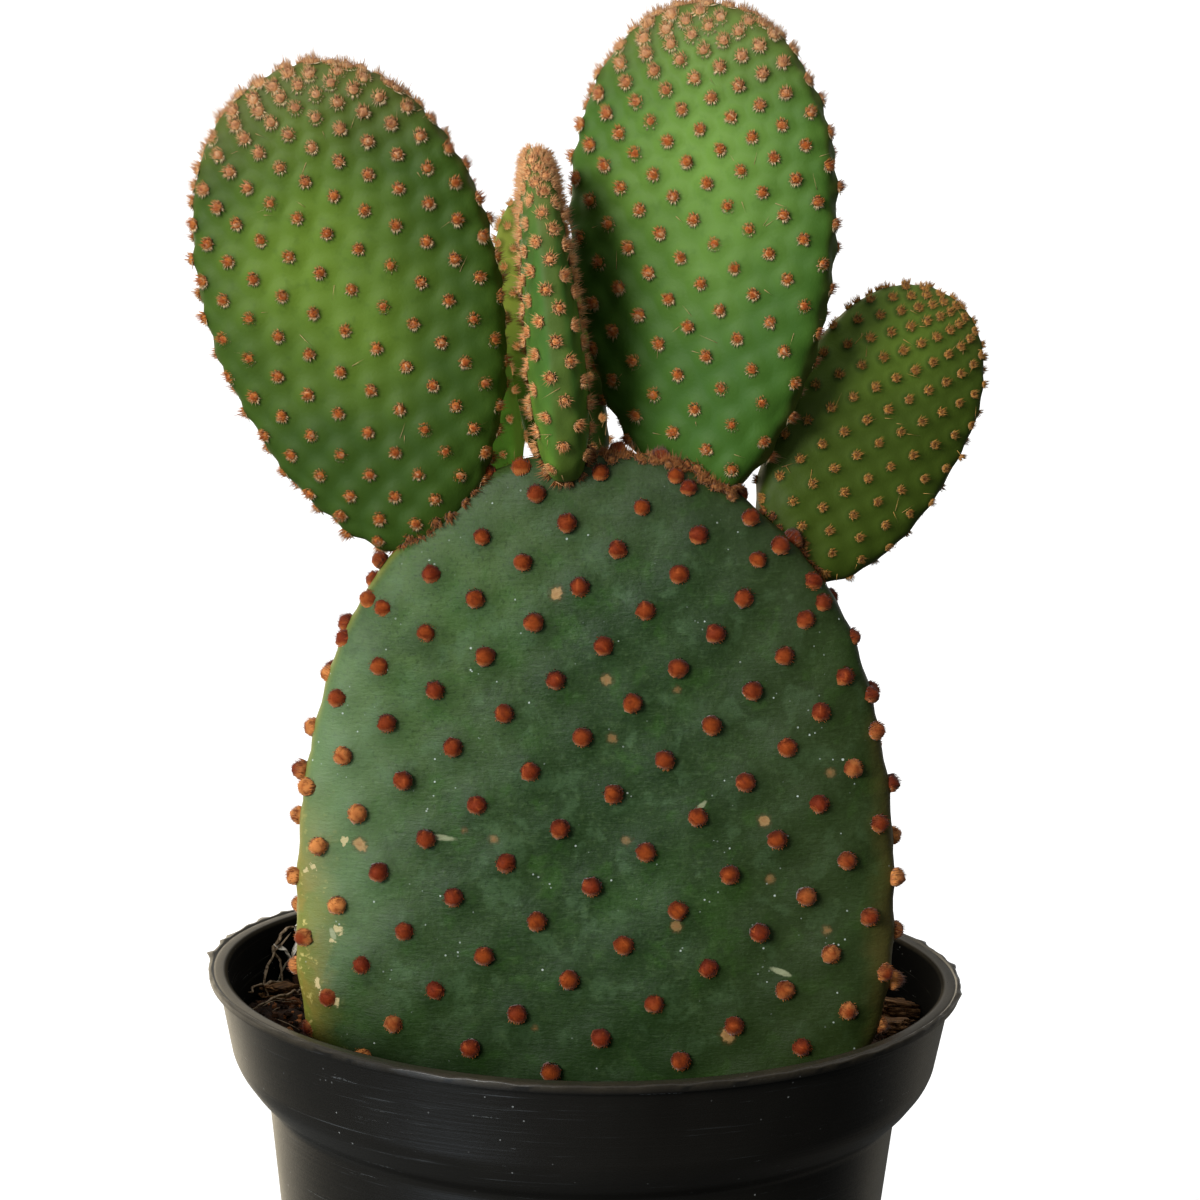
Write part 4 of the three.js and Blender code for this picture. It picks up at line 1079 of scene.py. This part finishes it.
def fresh_skin(name, dark, light, glow, through):
    """Smooth young skin: a soft waxy gloss over faint pores, with a painted pool of light round the glow's
    place, painted shade and a painted glow
    """
    made = Finish(name + "_green_skin", Specular_IOR_Level=0.16, Emission_Strength=through)
    place, near = made.own_place(), made.mark("near")
    up, facing = place.axis(2), made.mark("facing", "Vector").axis(1)
    clouds, pores, speckle = place.noise(0.06, 2), place.noise(2.4, 2, 0.6), place.noise(0.5, 3, 0.55)
    off = place.stretched(1, 0, 0.8).distance((glow[0], 0, 0.8 * glow[1]))
    colour = made.layered(
        dark,
        # A painted pool of light round the glow's place, and a painted highlight on the mound round each
        # tuft.
        ((off + clouds * 24).rising(36, 12), light), (near * 0.22, light),
        # A painted shadow right round each tuft, and painted shade that darkens towards the foot.
        (near.rising(0.5, 0.9) * 0.5, "#1e3208"), ((up + clouds * 16).rising(4, -34) * 0.35, dark),
        (speckle.rising(0.5, 0.75) * 0.25, dark), (abs(facing).rising(0.75, 0.1) * 0.4, "#5a5a24"),
        ((up + clouds * 8).rising(16, 36) * 0.25, "#93904c"),
    )
    # A painted glow: the skin gives off light of its own over the painted pool of light, though it is no
    # lamp.
    lit = made.layered("#000000", (off.rising(24, 6), colour))
    made.feed(Base_Color=colour, Emission_Color=lit, Roughness=clouds * 0.15 + pores * 0.12 + 0.42)
    made.relief((pores, 0.04), (speckle, 0.06))
    return made


def bristle_finish(name, core, tip, fringe, through=0):
    """Stiff bristles: rusty where they crowd at the core, paler to their tips and in the fringe"""
    made = Finish(name + "_bristles", Specular_IOR_Level=0.15, Sheen_Weight=0.15, Sheen_Roughness=0.5,
                  Emission_Strength=through)
    low, outer, tint, pale, strand = map(made.mark, ("low", "outer", "tint", "pale", "strand"))
    colour = made.layered(
        core,
        ((outer + low * 0.2).rising(0.35, 1.0) * 0.75 + tint * 0.12, tip), (made.mark("along") * 0.4, tip),
        (pale * (low * 0.9 + 0.1), fringe), (made.own_place().axis(2).rising(8, 28) * 0.3, fringe),
        (strand.rising(0.6, 1) * 0.45, fringe), (strand.rising(0.5, 0) * (0.5 - pale * 0.3), "#7c3a14"),
    )
    # Emission gives the bristles a painted glow, as strong as through asks.
    made.feed(Base_Color=colour, Emission_Color=colour, Roughness=tint * 0.2 + 0.65)
    return made


def loose_hairs(name, finish, seed):
    """Fine pale bristles that have come away and lie on the skin"""
    random = np.random.default_rng(seed)
    pad = PADS[name]
    directions = pad.uneven(unit(random.normal(size=(LOOSE_HAIRS, 3))))
    normals = pad.normals(directions)
    root = pad.skin(directions) + normals * 0.2
    lie = unit(np.cross(normals, random.normal(size=(LOOSE_HAIRS, 3))))
    tip = root + lie * random.uniform(1.2, 3.4, (LOOSE_HAIRS, 1))
    tip += normals * random.uniform(0.2, 1.1, (LOOSE_HAIRS, 1))
    hairs, spike = spikes(root, tip, 0.05)
    parent = PADS[pad.parent]
    free = ~parent.holds(pad.world(root), 0.5) & ~parent.holds(pad.world(tip), 0.5)
    hairs = hairs[free].reshape(-1, 3)
    faces = (spike + 4 * np.arange(free.sum())[:, None, None]).reshape(-1, 3)
    marks = {"low": 0.5, "along": 1, "outer": 1, "tint": 0.5, "pale": 0.8, "strand": 0.5}
    new_piece(
        name + "_loose_hairs", pad.world(hairs), [faces], finish, "young_pad",
        **{mark: np.full(len(hairs), value) for mark, value in marks.items()},
    )


def neck_crust(name, finish, seed):
    """Brown bristly crust where a young pad has broken out of its parent's edge"""
    random = np.random.default_rng(seed)
    pad = PADS[name]
    parent = PADS[pad.parent]
    directions = pad.uneven(lattice_ball(90)[0])
    points = pad.skin(directions)
    world = pad.world(points)
    ring = parent.holds(world, 0.9) & ~parent.holds(world, -0.1)
    kept = []
    for i in random.permutation(np.flatnonzero(ring)):
        if not kept or np.linalg.norm(points[kept] - points[i], axis=1).min() > 1.5:
            kept.append(i)
    seats = framed(points[kept], pad.normals(directions[kept]), random.uniform(0.7, 1.25, len(kept)))
    pad_tufts(name, seats, CRUST_TUFT, finish, "young_pad", seed, "crust")


def edge_crust(finish, seed):
    """Brown bristly crust along the old pad's top edge, where its areoles have run together"""
    random = np.random.default_rng(seed)
    pad = PADS["pad_base"]
    low, high, count, sway = CRUST_EDGE
    turn = np.radians(np.linspace(low, high, count)) + random.normal(0, 0.012, count)
    side = -sway * random.uniform(0, 1, count)
    directions = round_rim(turn, side)
    points = pad.skin(directions)
    free = np.ones(count, bool)
    for other in PADS.values():
        free &= (other is pad) | ~other.holds(pad.world(points), 0.3)
    seats = framed(points[free], pad.normals(directions[free]), random.uniform(0.65, 1.2, free.sum()))
    pad_tufts("pad_base", seats, CRUST_TUFT, finish, "old_pad", seed, "crust")


crust_bristle = bristle_finish("crust", "#4a2412", "#b8743c", "#c08850")
edge_crust(crust_bristle, 97)
for number, (name, row) in enumerate(YOUNG_PADS.items()):
    squares, mound, tuft, tip_size, through, glow, greens, rusts = row
    seats = bearing_seats(name, 0.9, tip_size)
    pad_skin(name, seats, squares, mound, fresh_skin(name, *greens, glow, through), "young_pad")
    bristle = bristle_finish(name, *rusts, through)
    pad_tufts(name, seats, tuft, bristle, "young_pad", 60 + number)
    loose_hairs(name, bristle, 80 + number)
    neck_crust(name, crust_bristle, 90 + number)


# Studio: a plain pale floor, soft light from the upper left in a pale room with a darker right
# side, and the camera at the photograph's place, level with the plant's head and looking a
# little down.

FLOOR_HALF = 60000
KEY_FROM, KEY_STRENGTH, KEY_WIDTH = (-0.56, -0.83, 0.37), 2.45, 18  # width in degrees, of a soft light
CAMERA_PLACE = (0, -626.36, 277.70)
CAMERA_PITCH, CAMERA_YAW, CAMERA_ROLL = 10.164, 0.128, 1.1  # degrees down, right and anticlockwise
CAMERA_LENS = 121.17

pale_floor = Finish("pale_floor", Specular_IOR_Level=0.0, Roughness=1.0, Emission_Strength=0.5)
pale = pale_floor.layered("#fafafa", (pale_floor.place().noise(0.02, 2), "#ffffff"))
pale_floor.feed(Base_Color=pale, Emission_Color=pale)
floor_mesh = bpy.data.meshes.new("floor")
half = FLOOR_HALF * MM
corners = [(x * half, y * half, 0) for x, y in ((-1, -1), (1, -1), (1, 1), (-1, 1))]
floor_mesh.from_pydata(corners, [], [(0, 1, 2, 3)])
floor_mesh.materials.append(pale_floor.material)
floor = bpy.data.objects.new("floor", floor_mesh)
floor.visible_diffuse = floor.visible_glossy = False
bpy.context.scene.collection.objects.link(floor)

scene = bpy.context.scene
scene.view_settings.view_transform = "Standard"


class Sky(Finish):
    """The light that surrounds the plant"""

    def __init__(self, name):
        self.world = bpy.data.worlds.new(name)
        self.world.use_nodes = True
        self.tree = self.world.node_tree
        self.shader = self.tree.nodes["Background"]


studio_sky = Sky("studio")
toward = studio_sky.node("TexCoord", out="Generated")
side, depth, rise = (toward.axis(i) for i in range(3))
window = toward.stretched(1, 1, 0.45).distance((-0.72, -0.69, -0.05))
behind = depth.rising(-0.2, 0.5)
left_glow = behind * side.rising(0.1, -0.2) * (1 - side.rising(-0.5, -0.95) * 0.5)
left_glow = left_glow * rise.rising(0.7, 0.2) * rise.rising(-0.55, -0.25)
right_glow = behind * side.rising(0.3, 0.45) * side.rising(0.72, 0.56)
level = studio_sky.layered(
    "#5c6062",
    (behind, "#78756c"), (rise.rising(0.3, 0.9) * 0.9, "#f4f6f8"), (rise.rising(-0.1, -0.5) * 0.8, "#707373"),
    (abs(rise).rising(0.16, 0.08) * behind, "#f4f6f8"), (side.rising(0.66, 0.86) * 0.85, "#2c2e2f"),
    (left_glow + right_glow * 0.3, "#dccfb6"),
    (rise.rising(-0.35, -0.6) * side.rising(-0.1, 0.3) * 0.75, "#1c1d1e"),
    (window.rising(0.42, 0.1) * 0.7, "#b8c8da"),
)
studio_sky.feed(Color=level, Strength=window.rising(0.5, 0.1) * 4.4 + left_glow * 1.9 + 0.85)
scene.world = studio_sky.world

key = bpy.data.lights.new("soft_key", "SUN")
key.energy, key.angle = KEY_STRENGTH, math.radians(KEY_WIDTH)
key_lamp = bpy.data.objects.new("soft_key", key)
key_lamp.rotation_euler = (-Vector(KEY_FROM)).to_track_quat("-Z", "Y").to_euler()
scene.collection.objects.link(key_lamp)

pitch, yaw, roll = (math.radians(a) for a in (CAMERA_PITCH, CAMERA_YAW, CAMERA_ROLL))
forward = Vector((math.sin(yaw) * math.cos(pitch), math.cos(yaw) * math.cos(pitch), -math.sin(pitch)))
right = Vector((math.cos(yaw), -math.sin(yaw), 0))
above = right.cross(forward)
axes = [right * math.cos(roll) + above * math.sin(roll), above * math.cos(roll) - right * math.sin(roll)]
camera = bpy.data.objects.new("camera", bpy.data.cameras.new("camera"))
camera.data.lens, camera.data.sensor_width = CAMERA_LENS, 36
camera.data.clip_start, camera.data.clip_end = 0.05, 200
turn = Matrix([*axes, -forward]).transposed().to_4x4()
camera.matrix_world = Matrix.Translation(Vector(CAMERA_PLACE) * MM) @ turn
scene.collection.objects.link(camera)
scene.camera = camera


# Last, the view layer is brought up to date.

bpy.context.view_layer.update()
